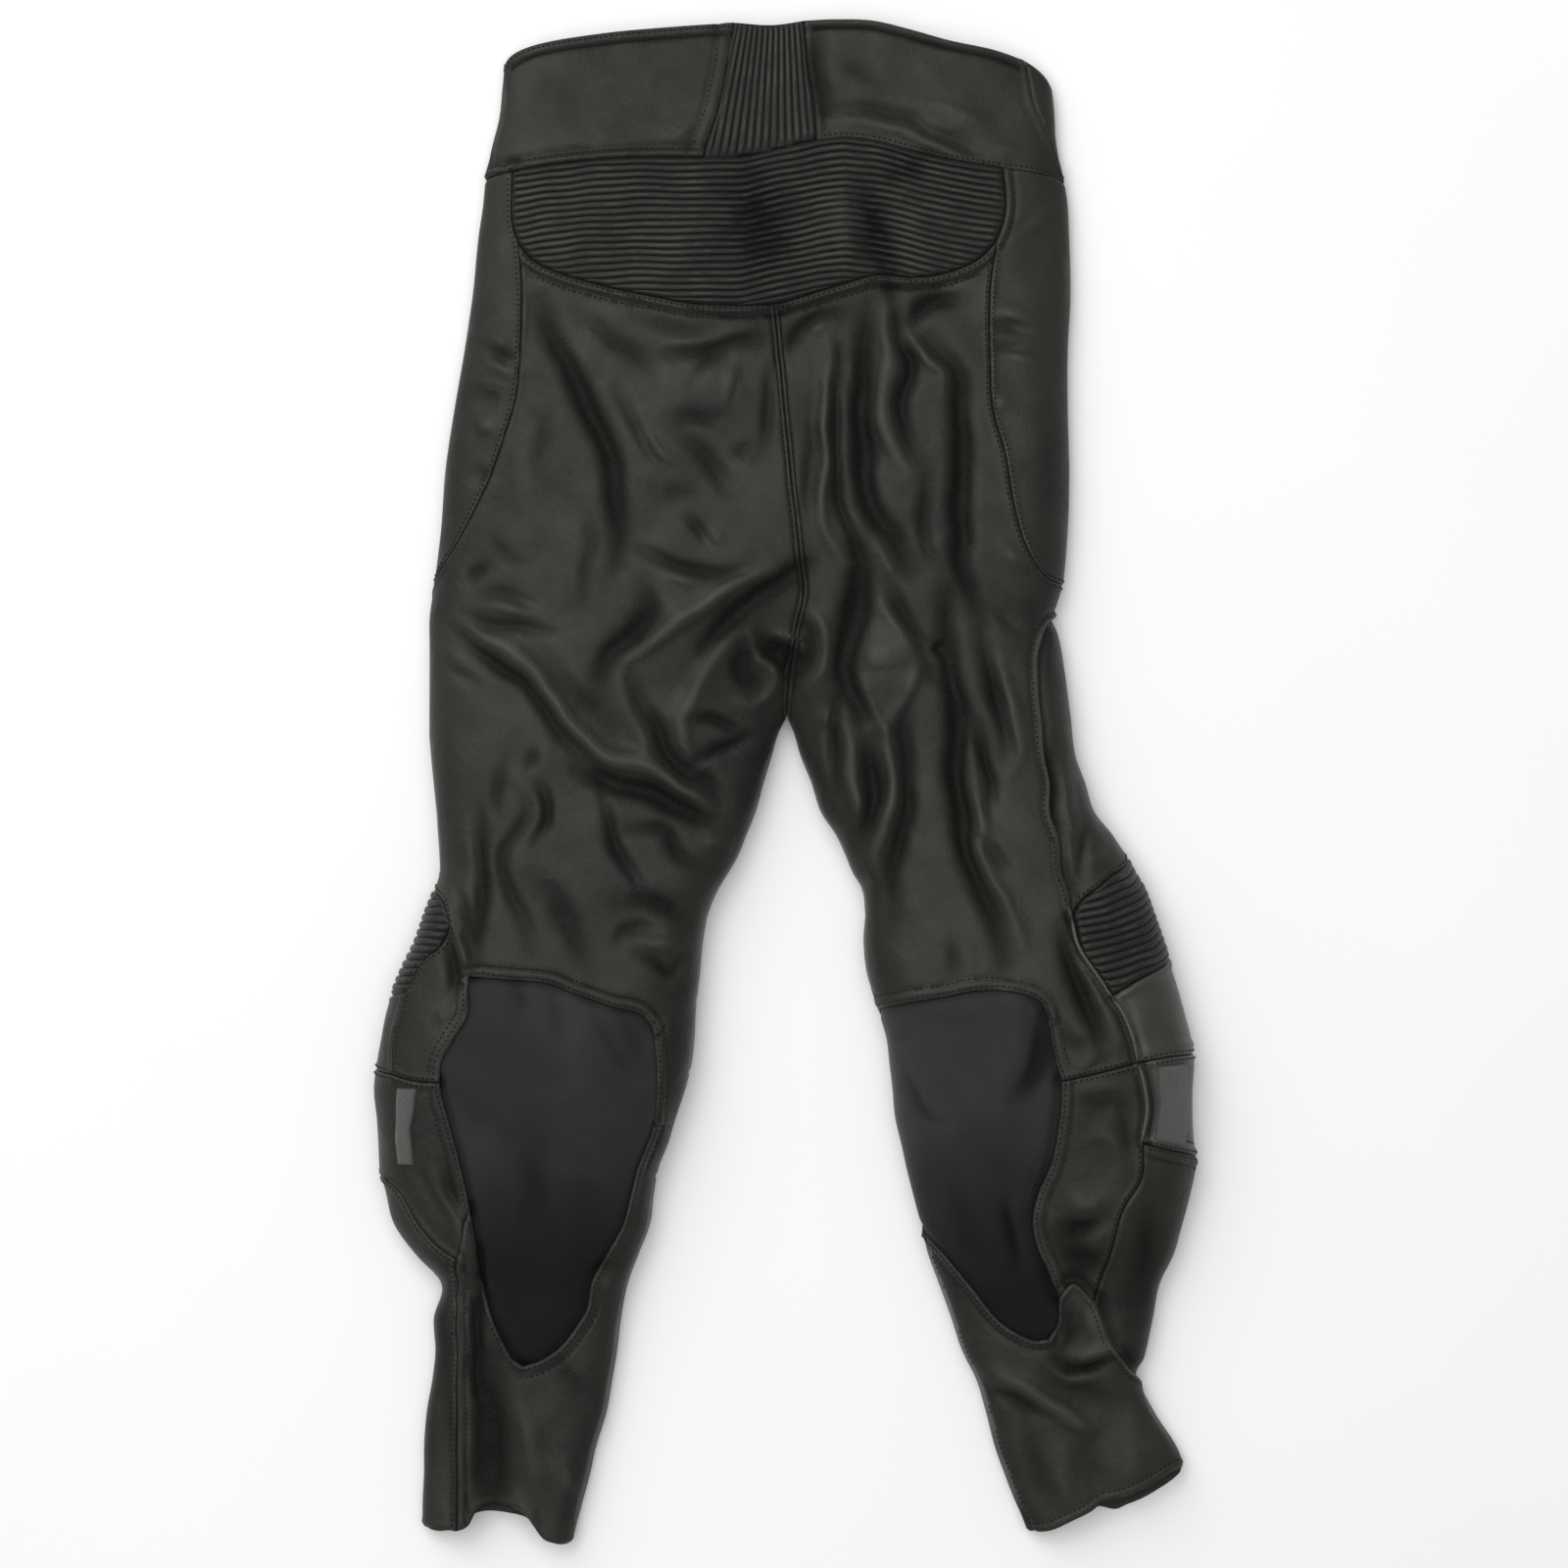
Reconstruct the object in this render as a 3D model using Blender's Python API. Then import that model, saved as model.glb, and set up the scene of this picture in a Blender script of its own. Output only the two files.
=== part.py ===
"""Leather motorcycle trousers lying flat on their front, seen from the back.

Every cut panel is a wall of its own. A panel is an outline of seam points laid on one shared
outer surface (two leg tubes that join in a trunk tube), filled with triangles and given depth
along the surface normals. Lengths are in millimetres until the mesh is made, then in metres.
+X is the wearer's right, +Y runs to the waist, +Z is up; the front lies on z = 0.
"""
import math

import bpy
import numpy as np
from mathutils import Vector
from mathutils.geometry import delaunay_2d_cdt

# Sizes
MM = 0.001
LEATHER = 1.4
WAISTBAND = 2.4
STRETCH = 1.2
RIB_WALL = 1.2
PATCH = 1.6
PATCH_LIFT = 0.3
SEAM_GAP = 0.3
RIB_HEIGHT = 2.0
YOKE_PITCH = 4.9
KNEE_PITCH = 5.3
WAIST_RIBS = 13
CROTCH_Y = 46.0
JOIN_LENGTH = 95.0
TRUNK_SQUARENESS = 6.0
LEG_SQUARENESS = 4.0
UNDER_ROLL = 3.5
SEAM_STEP = 21.0
TOP_STEP = 19.0
UNDER_STEP = 34.0
CLEARANCE = 8.5
RIB_CLEARANCE = 1.1
RIBS_END = -0.35
RIBS_FULL = 8.0
RIB_FADE = 5.0
TRUNK_SCALE = 200.0
LEG_SCALE = 108.0
STEP = 0.02
CENTRING = (0.0005, -0.001, 0.0)
NO_POINTS = np.zeros((0, 2))

# Outline of the trunk: y, left edge, right edge
TRUNK_ROWS = np.array([
    (540, -193, 172), (500, -195, 181), (482, -197, 185), (462, -199, 187), (442, -204, 188),
    (421, -208, 193), (401, -210, 196), (380, -213, 197), (340, -217, 198), (299, -223, 196),
    (258, -230, 196), (217, -236, 197), (176, -239, 196), (136, -244, 192), (115, -247, 187),
    (95, -247, 191), (46, -247, 198)], dtype=float)[::-1]

# Centre seam: y, x
CENTRE_ROWS = np.array([
    (540, -8), (421, -7), (329, -8), (312, -6), (270, -2), (201, 5), (154, 10), (122, 11),
    (95, 6), (68, 2), (46, 1)], dtype=float)[::-1]

# Outline of the legs: y, left outer, left inner, right inner, right outer
LEG_ROWS = np.array([
    (46, -247, 1, 1, 198), (34, -247, -5, 6, 199), (20, -246, -9, 10, 201),
    (0, -244, -15, 18, 208), (-21, -242, -21, 25, 215), (-36, -241, -27, 35, 227),
    (-51, -240, -33, 42, 236), (-63, -240, -40, 47, 242), (-71, -242, -45, 52, 247),
    (-89, -249, -53, 55, 254), (-109, -256, -57, 54, 261), (-130, -266, -59, 56, 268),
    (-157, -276, -62, 64, 276), (-177, -280, -63, 70, 281), (-194, -283, -65, 72, 283),
    (-211, -285, -69, 74, 282), (-232, -283, -76, 76, 282), (-249, -282, -81, 80, 283),
    (-267, -281, -88, 84, 284), (-283, -277, -91, 88, 281), (-306, -271, -94, 94, 275),
    (-327, -256, -102, 99, 269), (-346, -239, -109, 106, 260), (-371, -244, -114, 115, 255),
    (-395, -243, -117, 123, 250), (-413, -245, -120, 132, 246), (-436, -249, -124, 139, 256),
    (-463, -251, -132, 146, 273), (-477, -251, -135, 151, 278), (-500, -252, -141, 160, 285),
    (-519, -252, -146, 169, 290), (-544, -253, -151, 178, 297)], dtype=float)[::-1]

# Laid thickness: y, height of the side edge, rise of the top above it
HEIGHT_ROWS = np.array([
    (540, 7, 17), (430, 8, 21), (330, 9, 28), (200, 10, 31), (46, 11, 33), (-60, 13, 35),
    (-150, 15, 39), (-205, 16, 39), (-280, 14, 33), (-350, 11, 25), (-430, 9, 19),
    (-544, 8, 15)], dtype=float)[::-1]

# Largest folds of the back: height (minus is a trough), half width, then the points of its line
FOLDS = [
    (-7.0, 11, ((-170, 326), (-149, 283), (-127, 249), (-117, 218), (-114, 183), (-112, 150))),
    (-4.5, 9, ((-138, 320), (-95, 283), (-68, 252))),
    (-5.0, 9, ((-67, 240), (-47, 218), (-36, 190))),
    (-5.0, 10, ((-205, 147), (-232, 128))),
    (-6.0, 9, ((-239, 116), (-199, 94), (-168, 68))),
    (6.0, 10, ((-12, 141), (-38, 132), (-60, 116), (-109, 84))),
    (5.0, 9, ((-18, 125), (-38, 109), (-52, 88), (-70, 69))),
    (6.5, 12, ((-176, 68), (-145, 29), (-97, 14), (-70, -4), (-50, -20), (-30, -23))),
    (-6.5, 11, ((-123, 5), (-88, -13), (-34, -29))),
    (5.0, 8, ((-24, 99), (-8, 78), (-9, 66), (-19, 54), (-32, 55))),
    (-6.0, 8, ((-4, 94), (4, 84))),
    (4.5, 8, ((9, 114), (24, 106), (31, 87), (26, 69))),
    (-7.0, 11, ((49, 160), (43, 117), (39, 82), (36, 58))),
    (5.5, 10, ((68, 38), (76, 13), (75, -13), (66, -48), (60, -64))),
    (-6.0, 10, ((56, 65), (64, 31), (64, 5), (47, -46))),
    (-6.5, 13, ((119, 160), (116, 117), (114, 65), (119, 13), (119, -39), (126, -91))),
    (-6.5, 11, ((59, 329), (55, 270), (52, 218), (57, 192), (76, 166), (90, 143))),
    (5.5, 9, ((69, 308), (71, 270), (69, 232), (80, 204))),
    (5.0, 8, ((29, 273), (24, 235), (24, 209), (28, 183), (43, 156))),
    (-5.0, 11, ((119, 308), (123, 252), (123, 200), (137, 114), (145, 79))),
    (-5.0, 12, ((-150, -20), (-150, -70), (-158, -110))),
    (4.5, 12, ((-183, 10), (-178, -60), (-176, -115))),
    (-4.5, 9, ((-115, -94), (-91, -86), (-69, -92))),
    (-5.5, 8, ((-226, -105), (-221, -138), (-232, -158))),
    (5.0, 8, ((-217, -84), (-210, -118), (-212, -134), (-226, -157))),
    (-5.0, 9, ((200, -397), (217, -396), (236, -392))),
]

# Lines shared by panels: each point is x, y, layer (1 top, -1 underneath)
WAIST_TOP = ((-177, 510), (-144, 516), (-110, 520), (-76, 523), (-36, 525.5), (-8, 524),
             (13, 527), (33, 528), (60, 527), (87, 521), (111, 514), (145, 507), (166, 500))
WAIST_SEAM = ((-189, 423), (-164, 427), (-137, 430), (-103, 432), (-57, 432), (-28, 433),
              (-1, 439), (22, 444), (40, 446), (60, 444), (87, 437), (111, 431), (150, 425))


def smooth(y, rows, column):
    """Cubic through the rows of a table, with slopes from the neighbouring rows."""
    ys = rows[:, 0]
    vs = rows[:, column]
    slopes = np.gradient(vs, ys)
    i = np.clip(np.searchsorted(ys, y) - 1, 0, len(ys) - 2)
    span = ys[i + 1] - ys[i]
    t = np.clip((y - ys[i]) / span, 0.0, 1.0)
    return ((1 + 2 * t) * (1 - t) ** 2 * vs[i] + t * t * (3 - 2 * t) * vs[i + 1]
            + span * t * (1 - t) * ((1 - t) * slopes[i] - t * slopes[i + 1]))


def outline(y):
    """Left outer, left inner, right inner and right outer edge at each y."""
    y = np.asarray(y, dtype=float)
    high = y >= CROTCH_Y
    centre = smooth(y, CENTRE_ROWS, 1)
    left = np.where(high, smooth(y, TRUNK_ROWS, 1), smooth(y, LEG_ROWS, 1))
    left_in = np.where(high, centre, smooth(y, LEG_ROWS, 2))
    right_in = np.where(high, centre, smooth(y, LEG_ROWS, 3))
    right = np.where(high, smooth(y, TRUNK_ROWS, 2), smooth(y, LEG_ROWS, 4))
    return left, left_in, right_in, right


def tube_span(tube, y):
    """Centre and half width of a tube at each y."""
    left, left_in, right_in, right = outline(y)
    low = {"trunk": left, "left": left, "right": right_in}[tube]
    high = {"trunk": right, "left": left_in, "right": right}[tube]
    return (low + high) / 2, (high - low) / 2


def hump(x, y):
    """Square of the section's rise: 0 along every side edge, near 1 over most of the width."""
    left, left_in, right_in, right = outline(y)
    on_left = x < (left_in + right_in) / 2
    low = np.where(on_left, left, right_in)
    high = np.where(on_left, left_in, right)
    leg = 1 - np.abs((2 * x - low - high) / (high - low)) ** LEG_SQUARENESS
    trunk = 1 - np.abs((2 * x - left - right) / (right - left)) ** TRUNK_SQUARENESS
    part = np.clip((y - CROTCH_Y) / JOIN_LENGTH, 0, 1)
    share = part * (2 - part)
    return np.clip(share * trunk + (1 - share) * leg, 0, None)


def fold_relief(x, y):
    """Height of the folds: a soft bell across each line, fading out at its two ends."""
    total = np.zeros_like(x)
    for height, width, line in FOLDS:
        line = np.array(line, dtype=float)
        steps = np.linalg.norm(np.diff(line, axis=0), axis=1)
        starts = np.concatenate([[0], np.cumsum(steps)])
        near = np.full(x.shape, 1e9)
        along = np.zeros_like(x)
        for (x0, y0), (x1, y1), start, length in zip(line[:-1], line[1:], starts, steps):
            t = ((x - x0) * (x1 - x0) + (y - y0) * (y1 - y0)) / length ** 2
            t = np.clip(t, 0, 1)
            gap = np.hypot(x - x0 - t * (x1 - x0), y - y0 - t * (y1 - y0))
            closer = gap < near
            near = np.where(closer, gap, near)
            along = np.where(closer, (start + t * length) / starts[-1], along)
        fade = np.sin(np.pi * np.clip(0.12 + 0.76 * along, 0, 1))
        total += height * fade * np.exp(-(near / width) ** 2)
    return total


def heights(x, y, layer):
    """Height of the outer surface over or under (x, y)."""
    square = hump(x, y)
    rise = np.sqrt(square)
    edge = smooth(y, HEIGHT_ROWS, 1)
    crown = smooth(y, HEIGHT_ROWS, 2)
    top = edge + crown * rise + fold_relief(x, y) * np.clip(1.4 * square, 0, 1)
    under = edge * (1 - np.sin(np.clip(UNDER_ROLL * rise, 0, math.pi / 2)))
    return np.where(layer >= 0, top, under)


def angle_of(tube, points):
    """Angle round a tube: 0 at its left edge, pi at its right edge, below 0 underneath."""
    centre, half = tube_span(tube, points[:, 1])
    angle = np.arccos(np.clip((centre - points[:, 0]) / half, -1, 1))
    return np.where(points[:, 2] < 0, -angle, angle)


def from_angle(tube, angle, y):
    """Point (x, y, layer) at an angle round a tube."""
    centre, half = tube_span(tube, y)
    layer = np.where(np.sin(angle) >= 0, 1.0, -1.0)
    return np.stack([centre - half * np.cos(angle), y, layer], axis=1)


def surface(points):
    """Positions on the outer surface."""
    z = heights(points[:, 0], points[:, 1], points[:, 2])
    return np.stack([points[:, 0], points[:, 1], z], axis=1)


def normals(points):
    """Outward normals, from small steps round and along the tube each point is on."""
    result = np.zeros((len(points), 3))
    x, y = points[:, 0], points[:, 1]
    _, left_in, right_in, _ = outline(y)
    on_left = x < (left_in + right_in) / 2
    groups = (("trunk", y >= CROTCH_Y), ("left", (y < CROTCH_Y) & on_left),
              ("right", (y < CROTCH_Y) & ~on_left))
    for tube, chosen in groups:
        if not chosen.any():
            continue
        some = points[chosen]
        angle = angle_of(tube, some)
        turn = STEP / TRUNK_SCALE
        round_it = (surface(from_angle(tube, angle + turn, some[:, 1]))
                    - surface(from_angle(tube, angle - turn, some[:, 1])))
        along_it = (surface(from_angle(tube, angle, some[:, 1] + STEP))
                    - surface(from_angle(tube, angle, some[:, 1] - STEP)))
        cross = np.cross(round_it, along_it)
        result[chosen] = cross / np.linalg.norm(cross, axis=1)[:, None]
    return result


def unroll(chart, points, lies):
    """Flat coordinates for triangulating: scaled angle and y. A "far" chart starts its
    count at the left edge and runs on past the right edge to the underside."""
    tube, far = chart
    points = points.copy()
    points[:, 2] = np.where(points[:, 2] == 0, lies, points[:, 2])
    angle = angle_of(tube, points)
    if far:
        angle = np.where(angle < 0, angle + 2 * math.pi, angle)
        angle = np.where((angle == 0) & (points[:, 2] < 0), 2 * math.pi, angle)
    scale = TRUNK_SCALE if tube == "trunk" else LEG_SCALE
    return np.round(np.stack([angle * scale, points[:, 1]], axis=1), 4)


def roll_up(chart, flat):
    """Points (x, y, layer) from flat coordinates."""
    tube, _ = chart
    scale = TRUNK_SCALE if tube == "trunk" else LEG_SCALE
    return from_angle(tube, flat[:, 0] / scale, flat[:, 1])


def edge_point(side, y):
    """Point on one of the four side edges."""
    x = float(outline(y)[{"L": 0, "l": 1, "r": 2, "R": 3}[side]])
    return (x, y, 0)


def edge_line(side, y_from, y_to):
    """Side edge between two heights, with a point at each row of the outline table."""
    rows = [y for y in LEG_ROWS[:, 0] if min(y_from, y_to) + 6 < y < max(y_from, y_to) - 6]
    rows = sorted(rows, reverse=y_from > y_to)
    return [edge_point(side, y) for y in [y_from] + rows + [y_to]]


def top_line(*points):
    return [(x, y, 1) for x, y in points]


def under_line(*points):
    return [(x, y, -1) for x, y in points]


def sample(chart, line, lies=1):
    """Seam points no further apart than the seam step, straight in the unrolled chart."""
    points = np.array(line, dtype=float)
    flat = unroll(chart, points, lies)
    found = [points[:1]]
    for i in range(len(points) - 1):
        count = max(1, math.ceil(np.linalg.norm(flat[i + 1] - flat[i]) / SEAM_STEP))
        t = (np.arange(1, count) / count)[:, None]
        between = roll_up(chart, flat[i] + t * (flat[i + 1] - flat[i]))
        if points[i, 2] == 0 and points[i + 1, 2] == 0:
            between = on_edge(points[i], between)
        found += [between, points[i + 1:i + 2]]
    return np.concatenate(found)


def on_edge(start, between):
    """Moves points sampled along a side edge exactly onto that edge."""
    sides = outline(start[1])
    side = int(np.argmin([abs(float(s) - start[0]) for s in sides]))
    between[:, 0] = outline(between[:, 1])[side]
    between[:, 2] = 0
    return between


TRUNK = ("trunk", False)
TRUNK_FAR = ("trunk", True)
LEFT = ("left", False)
RIGHT = ("right", False)
RIGHT_FAR = ("right", True)


def build_seams():
    """Every seam once, by name, so that both panels beside it use the same points."""
    crotch = edge_point("l", CROTCH_Y)
    waist_left = edge_point("L", 499)
    waist_right = edge_point("R", 484)
    seam_left = edge_point("L", 418)
    seam_right = edge_point("R", 416)
    centre = [(float(smooth(y, CENTRE_ROWS, 1)), y) for y in (312, 270, 236, 201, 154, 122, 95, 68)]
    fly_end = (float(smooth(258, CENTRE_ROWS, 1)), 258)
    waist_front = (float(smooth(402, CENTRE_ROWS, 1)), 402)
    zip_top = (-217, -292)
    zip_turn = (-226, -328)
    cross_left = (-270, -200)
    cup_corner = (-261, -144)
    ribs_corner = (197, -91)
    ribs_low = (224, -145)
    cross_right = (242, -191)
    band_corner = (245, -247)
    cuff_corner = (213, -357)
    overlap = (188, -354)
    lines = {
        "waist_a": (TRUNK, [waist_left] + top_line(*WAIST_TOP[:5])),
        "waist_b": (TRUNK, top_line(*WAIST_TOP[4:7])),
        "waist_c": (TRUNK, top_line(*WAIST_TOP[6:])),
        "waist_d": (TRUNK_FAR, top_line((166, 500)) + [waist_right]
                    + under_line((150, 478), (90, 472), (-8, 470))),
        "waist_e": (TRUNK, under_line((-8, 470), (-90, 474), (-160, 486)) + [waist_left]),
        "seam_a": (TRUNK, [seam_left] + top_line(WAIST_SEAM[0])),
        "seam_b": (TRUNK, top_line(*WAIST_SEAM[:5])),
        "seam_c": (TRUNK, top_line(*WAIST_SEAM[4:8])),
        "seam_d": (TRUNK, top_line(*WAIST_SEAM[7:])),
        "seam_e": (TRUNK, top_line(WAIST_SEAM[-1]) + [seam_right]),
        "seam_f": (TRUNK_FAR, [seam_right] + under_line((172, 410))),
        "seam_g": (TRUNK_FAR, under_line((172, 410), (90, 404), waist_front)),
        "seam_h": (TRUNK, under_line(waist_front, (-32, 402))),
        "seam_i": (TRUNK, under_line((-32, 402), (-100, 406), (-184, 412))),
        "seam_j": (TRUNK, under_line((-184, 412)) + [seam_left]),
        "waist_rib_left": (TRUNK, top_line((-36, 525.5), (-57, 432))),
        "waist_rib_right": (TRUNK, top_line((13, 527), (17, 491), (22, 444))),
        "waist_front_split": (TRUNK, under_line((-8, 470), waist_front)),
        "waist_side_left": (TRUNK, edge_line("L", 499, 418)),
        "waist_side_right": (TRUNK, top_line((166, 500), (171, 474), (180, 452)) + [seam_right]),
        "yoke_side_left": (TRUNK, top_line((-189, 423), (-189, 388), (-184, 372))),
        "yoke_arc_left": (TRUNK, top_line((-184, 372), (-175, 361), (-158, 352), (-132, 344),
                                          (-97, 336), (-54, 329), (-8, 329))),
        "yoke_arc_right": (TRUNK, top_line((-8, 329), (6, 333), (41, 344), (64, 350), (87, 348),
                                           (119, 354), (133, 361), (145, 373))),
        "yoke_side_right": (TRUNK, top_line((145, 373), (150, 386), (150, 425))),
        "hip_left": (LEFT, top_line((-184, 372), (-182, 340), (-183, 296), (-186, 265),
                                    (-193, 241), (-204, 210), (-215, 187), (-228, 164))
                     + [edge_point("L", 133)]),
        "hip_right": (RIGHT, top_line((145, 373), (141, 340), (141, 288), (142, 261), (151, 227),
                                      (157, 192), (164, 167), (174, 149)) + [edge_point("R", 136)]),
        "hip_front_left": (LEFT, [edge_point("L", 133)]
                           + under_line((-226, 200), (-206, 300), (-184, 412))),
        "hip_front_right": (RIGHT_FAR, under_line((172, 410), (178, 300), (182, 200))
                            + [edge_point("R", 136)]),
        "centre_back": (TRUNK, top_line((-8, 329), *centre) + [crotch]),
        "centre_front": (TRUNK, under_line(fly_end, *centre[2:]) + [crotch], -1),
        "fly_right": (TRUNK, under_line(waist_front, (-7, 329), fly_end)),
        "fly_left": (TRUNK, under_line((-32, 402), (-30, 300), fly_end)),
        "out_left": (LEFT, edge_line("L", 133, -72)),
        "out_right": (RIGHT, edge_line("R", 136, 115)),
        "in_left_a": (LEFT, edge_line("l", CROTCH_Y, -94)),
        "in_left_b": (LEFT, edge_line("l", -94, -150)),
        "in_left_c": (LEFT, edge_line("l", -150, -200)),
        "in_left_d": (LEFT, edge_line("l", -200, -236)),
        "in_left_e": (LEFT, edge_line("l", -236, -272)),
        "in_left_f": (LEFT, edge_line("l", -272, -526)),
        "in_right_a": (RIGHT, edge_line("r", CROTCH_Y, -92)),
        "in_right_b": (RIGHT, edge_line("r", -92, -140)),
        "in_right_c": (RIGHT, edge_line("r", -140, -157)),
        "in_right_d": (RIGHT, edge_line("r", -308, -519)),
        "thigh_front_left": (LEFT, [edge_point("L", -72)] + under_line((-150, -84))
                             + [edge_point("l", -94)], -1),
        "thigh_front_right": (RIGHT_FAR, [edge_point("R", -51)] + under_line((160, -74))
                              + [edge_point("r", -92)], -1),
        "rib_seam_left": (LEFT, [edge_point("L", -72)]
                          + top_line((-233, -88), (-231, -100), (-237, -112), (-248, -121),
                                     (-255, -132), cup_corner)),
        "rib_low_left": (LEFT, top_line(cup_corner) + [edge_point("L", -147)]),
        "rib_low_under_left": (LEFT, [edge_point("L", -147)] + under_line((-170, -150))
                               + [edge_point("l", -150)], -1),
        "cup_seam_left": (LEFT, top_line(cup_corner, (-265, -158), (-269, -172), cross_left)),
        "cross_a_left": (LEFT, top_line(cross_left) + [edge_point("L", -197)]),
        "cross_b_left": (LEFT, top_line(cross_left, (-254, -204), (-237, -205))),
        "cross_under_left": (LEFT, [edge_point("L", -197)] + under_line((-170, -199))
                             + [edge_point("l", -200)], -1),
        "shield_top_left": (LEFT, top_line((-216, -132), (-187, -135), (-164, -137), (-142, -145),
                                           (-119, -153), (-97, -160), (-91, -167))),
        "shield_a_left": (LEFT, top_line((-216, -132), (-218, -160), (-228, -177), (-236, -192),
                                         (-237, -205))),
        "shield_b_left": (LEFT, top_line((-237, -205), (-228, -242), (-222, -267), zip_top)),
        "shield_c_left": (LEFT, top_line(zip_top, (-213, -313), (-212, -339), (-207, -358),
                                         (-199, -378), (-189, -396), (-181, -402))),
        "shield_d_left": (LEFT, top_line((-91, -167), (-89, -184), (-88, -207), (-90, -236))),
        "shield_e_left": (LEFT, top_line((-90, -236), (-96, -252), (-104, -275), (-114, -309),
                                         (-125, -328), (-134, -345), (-137, -362), (-146, -377),
                                         (-157, -390), (-169, -398), (-181, -402))),
        "strip_end_left": (LEFT, top_line((-90, -236)) + [edge_point("l", -236)]),
        "shin_top_left": (LEFT, [edge_point("L", -270)]
                          + top_line((-264, -284), (-252, -304), (-240, -318), zip_turn)),
        "shin_under_left": (LEFT, [edge_point("L", -270)] + under_line((-180, -272))
                            + [edge_point("l", -272)], -1),
        "zip_a_left": (LEFT, top_line(zip_top, (-223, -315), zip_turn)),
        "zip_b_left": (LEFT, top_line(zip_turn, (-227, -366), (-227, -437), (-227, -517))),
        "hem_shin_left": (LEFT, [edge_point("L", -515)] + top_line((-242, -516), (-227, -517))),
        "hem_cuff_left": (LEFT, top_line((-227, -517), (-219, -513), (-214, -504), (-204, -499),
                                         (-190, -501), (-181, -505), (-174, -514), (-168, -522),
                                         (-159, -526)) + [edge_point("l", -526)]),
        "hem_under_left": (LEFT, [edge_point("L", -515)]
                           + under_line((-229, -517), (-216, -508), (-190, -508), (-182, -510),
                                        (-172, -518), (-162, -525)) + [edge_point("l", -526)], -1),
        "overlap_right": (RIGHT, [edge_point("R", 115)]
                          + top_line((180, 108), (174, 88), (174, 68), (177, 34), (182, 0),
                                     (187, -34), (190, -62), ribs_corner)),
        "rib_top_right": (RIGHT, top_line(ribs_corner, (201, -83), (216, -70))
                          + [edge_point("R", -51)]),
        "rib_seam_right": (RIGHT, top_line(ribs_corner, (203, -114), (215, -132), ribs_low)),
        "rib_low_right": (RIGHT, top_line(ribs_low, (240, -136)) + [edge_point("R", -120)]),
        "rib_low_under_right": (RIGHT_FAR, [edge_point("R", -120)] + under_line((160, -132))
                                + [edge_point("r", -140)], -1),
        "cup_seam_right": (RIGHT, top_line(ribs_low, (232, -157), (238, -172), cross_right)),
        "cross_a_right": (RIGHT, top_line(cross_right, (262, -188)) + [edge_point("R", -187)]),
        "cross_b_right": (RIGHT, top_line((189, -204), (215, -198), cross_right)),
        "cross_under_right": (RIGHT_FAR, [edge_point("R", -187)]
                              + under_line((180, -189), (90, -190)), -1),
        "slide_seam_right": (RIGHT, top_line(cross_right, (247, -208), (249, -222), band_corner)),
        "band_right": (RIGHT, top_line(band_corner, (264, -252)) + [edge_point("R", -259)]),
        "band_under_right": (RIGHT_FAR, [edge_point("R", -259)]
                             + under_line((190, -258), (100, -256)), -1),
        "shin_seam_right": (RIGHT, top_line(band_corner, (243, -274), (232, -292), (225, -318),
                                            (216, -344), cuff_corner)),
        "shield_top_right": (RIGHT, [edge_point("r", -157)]
                             + top_line((89, -150), (111, -146), (132, -142), (152, -142),
                                        (165, -145), (175, -151), (179, -160))),
        "shield_a_right": (RIGHT, top_line((179, -160), (181, -172), (184, -188), (189, -204))),
        "shield_b_right": (RIGHT, top_line((189, -204), (188, -225), (183, -258), (173, -284),
                                           (170, -302), (174, -321), (181, -336), overlap)),
        "shield_c_right": (RIGHT, top_line(overlap, (187, -372), (181, -383))),
        "shield_d_right": (RIGHT, [edge_point("r", -308)]
                           + top_line((110, -326), (128, -347), (147, -370), (162, -380),
                                      (173, -384), (181, -383))),
        "shield_under_a": (RIGHT, [edge_point("r", -157)] + under_line((90, -190)), -1),
        "shield_under_b": (RIGHT, under_line((90, -190), (94, -222), (100, -256))),
        "shield_under_c": (RIGHT, under_line((100, -256), (108, -288)) + [edge_point("r", -308)]),
        "cuff_a_right": (RIGHT, top_line(overlap, (197, -344), cuff_corner)),
        "cuff_b_right": (RIGHT, top_line(cuff_corner, (223, -383), (236, -402))
                         + [edge_point("R", -414)]),
        "out_cuff_right": (RIGHT, edge_line("R", -414, -472)),
        "hem_top_right": (RIGHT, [edge_point("r", -519)]
                          + top_line((186, -516), (200, -509), (210, -504), (220, -497),
                                     (232, -494), (249, -487), (263, -479))
                          + [edge_point("R", -472)]),
        "hem_under_right": (RIGHT_FAR, [edge_point("R", -472)]
                            + under_line((272, -482), (261, -490), (247, -498), (237, -502),
                                         (230, -505), (218, -503), (205, -508), (186, -516))
                            + [edge_point("r", -519)], -1),
    }
    return {name: sample(*spec) for name, spec in lines.items()}


def loop_from(seams, names):
    """Joins seams end to end; a minus sign in front of a name runs it backwards."""
    points = []
    for name in names:
        line = seams[name.lstrip("-")]
        line = line[::-1] if name.startswith("-") else line
        points.append(line[:-1])
    return np.concatenate(points)


def inside(flat, polygon):
    """True for the points inside a closed polygon."""
    x, y = flat[:, 0], flat[:, 1]
    result = np.zeros(len(flat), dtype=bool)
    for (x0, y0), (x1, y1) in zip(polygon, np.roll(polygon, -1, axis=0)):
        if y0 != y1:
            crosses = (y0 > y) != (y1 > y)
            result ^= crosses & (x < x0 + (y - y0) * (x1 - x0) / (y1 - y0))
    return result


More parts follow.
